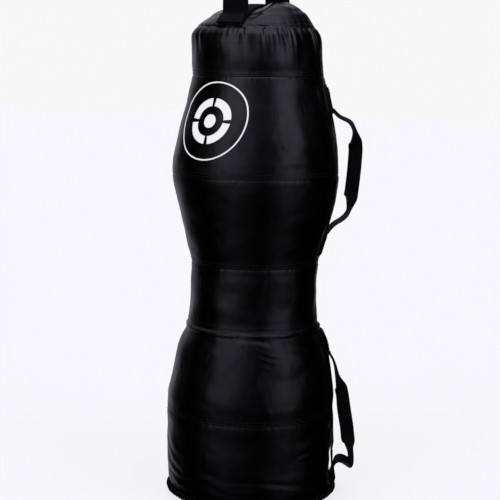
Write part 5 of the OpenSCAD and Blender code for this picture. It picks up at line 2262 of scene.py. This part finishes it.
def light_table(graph, value, limit, rows):
    """A curve of brightness over an angle from -limit to limit."""
    node = graph.node("ShaderNodeFloatCurve")
    curve = node.mapping.curves[0]
    node.mapping.use_clip = False
    while len(curve.points) < len(rows):
        curve.points.new(0.5, 0.5)
    for point, (angle, brightness) in zip(curve.points, rows):
        point.location = ((angle + limit) / (2 * limit), brightness)
        point.handle_type = "AUTO_CLAMPED"
    node.mapping.update()
    graph.set(node.inputs["Value"], graph.map_range(value, (-limit, limit), (0, 1)))
    return node.outputs[0]


def build_world():
    world = bpy.data.worlds.new("studio")
    bpy.context.scene.world = world
    world.use_nodes = True
    graph = Graph(world.node_tree)
    x, y, z = graph.separate(graph.coords("Generated"))
    sin, cos = math.sin(VIEW), math.cos(VIEW)
    toward = graph.add(graph.multiply(x, sin), graph.multiply(y, -cos))
    right = graph.add(graph.multiply(x, cos), graph.multiply(y, sin))
    azimuth = graph.multiply(graph.math("ARCTAN2", right, toward), 180 / PI)
    elevation = graph.multiply(graph.math("ARCSINE", z), 180 / PI)
    light = graph.multiply(light_table(graph, azimuth, 180, FRONT_LIGHTS),
                           light_table(graph, elevation, 90, FRONT_ELEVATION))
    light = graph.add(light, light_table(graph, azimuth, 180, BACK_LIGHT))
    overhead = graph.multiply(*(
        graph.map_range(elevation, OVERHEAD[part], (0, 1), interpolation_type="SMOOTHERSTEP")
        for part in ("rise", "fall")))
    light = graph.add(light, graph.multiply(overhead, OVERHEAD["strength"]))
    light = graph.add(light, AMBIENT)
    lit = world.node_tree.nodes["Background"]
    graph.set(lit.inputs["Strength"], light)
    graph.set(lit.inputs["Color"], LIGHT_TINT)
    seen = graph.node("ShaderNodeBackground", {"Color": (1, 1, 1, 1), "Strength": BACKDROP})
    rays = graph.node("ShaderNodeLightPath")
    chosen = graph.node("ShaderNodeMixShader", {
        0: rays.outputs["Is Camera Ray"], 1: lit.outputs[0], 2: seen.outputs[0]})
    graph.set(world.node_tree.nodes["World Output"].inputs["Surface"], chosen.outputs[0])


CAMERA_DISTANCE, CAMERA_HEIGHT = 2.535, 0.833
CAMERA_PITCH, CAMERA_YAW, CAMERA_ROLL = 8.306, -0.163, 0.73      # degrees
CAMERA_LENS, CAMERA_SENSOR = 98.64, 36                           # mm


def build_camera():
    scene = bpy.context.scene
    scene.view_settings.view_transform = "Standard"
    scene.view_settings.look = "None"
    data = bpy.data.cameras.new("camera")
    camera = bpy.data.objects.new("camera", data)
    COLLECTION.objects.link(camera)
    data.sensor_width = CAMERA_SENSOR
    data.lens = CAMERA_LENS
    data.clip_start, data.clip_end = 0.05, 60
    camera.location = polar(CAMERA_DISTANCE, VIEW, CAMERA_HEIGHT)
    heading = Matrix.Rotation(VIEW - math.radians(CAMERA_YAW), 3, "Z")
    tilt = Matrix.Rotation(math.radians(90 - CAMERA_PITCH), 3, "X")
    roll = Matrix.Rotation(math.radians(CAMERA_ROLL), 3, "Z")
    camera.rotation_euler = (heading @ tilt @ roll).to_euler()
    scene.camera = camera


build_floor()
build_world()
build_camera()

bpy.context.view_layer.update()
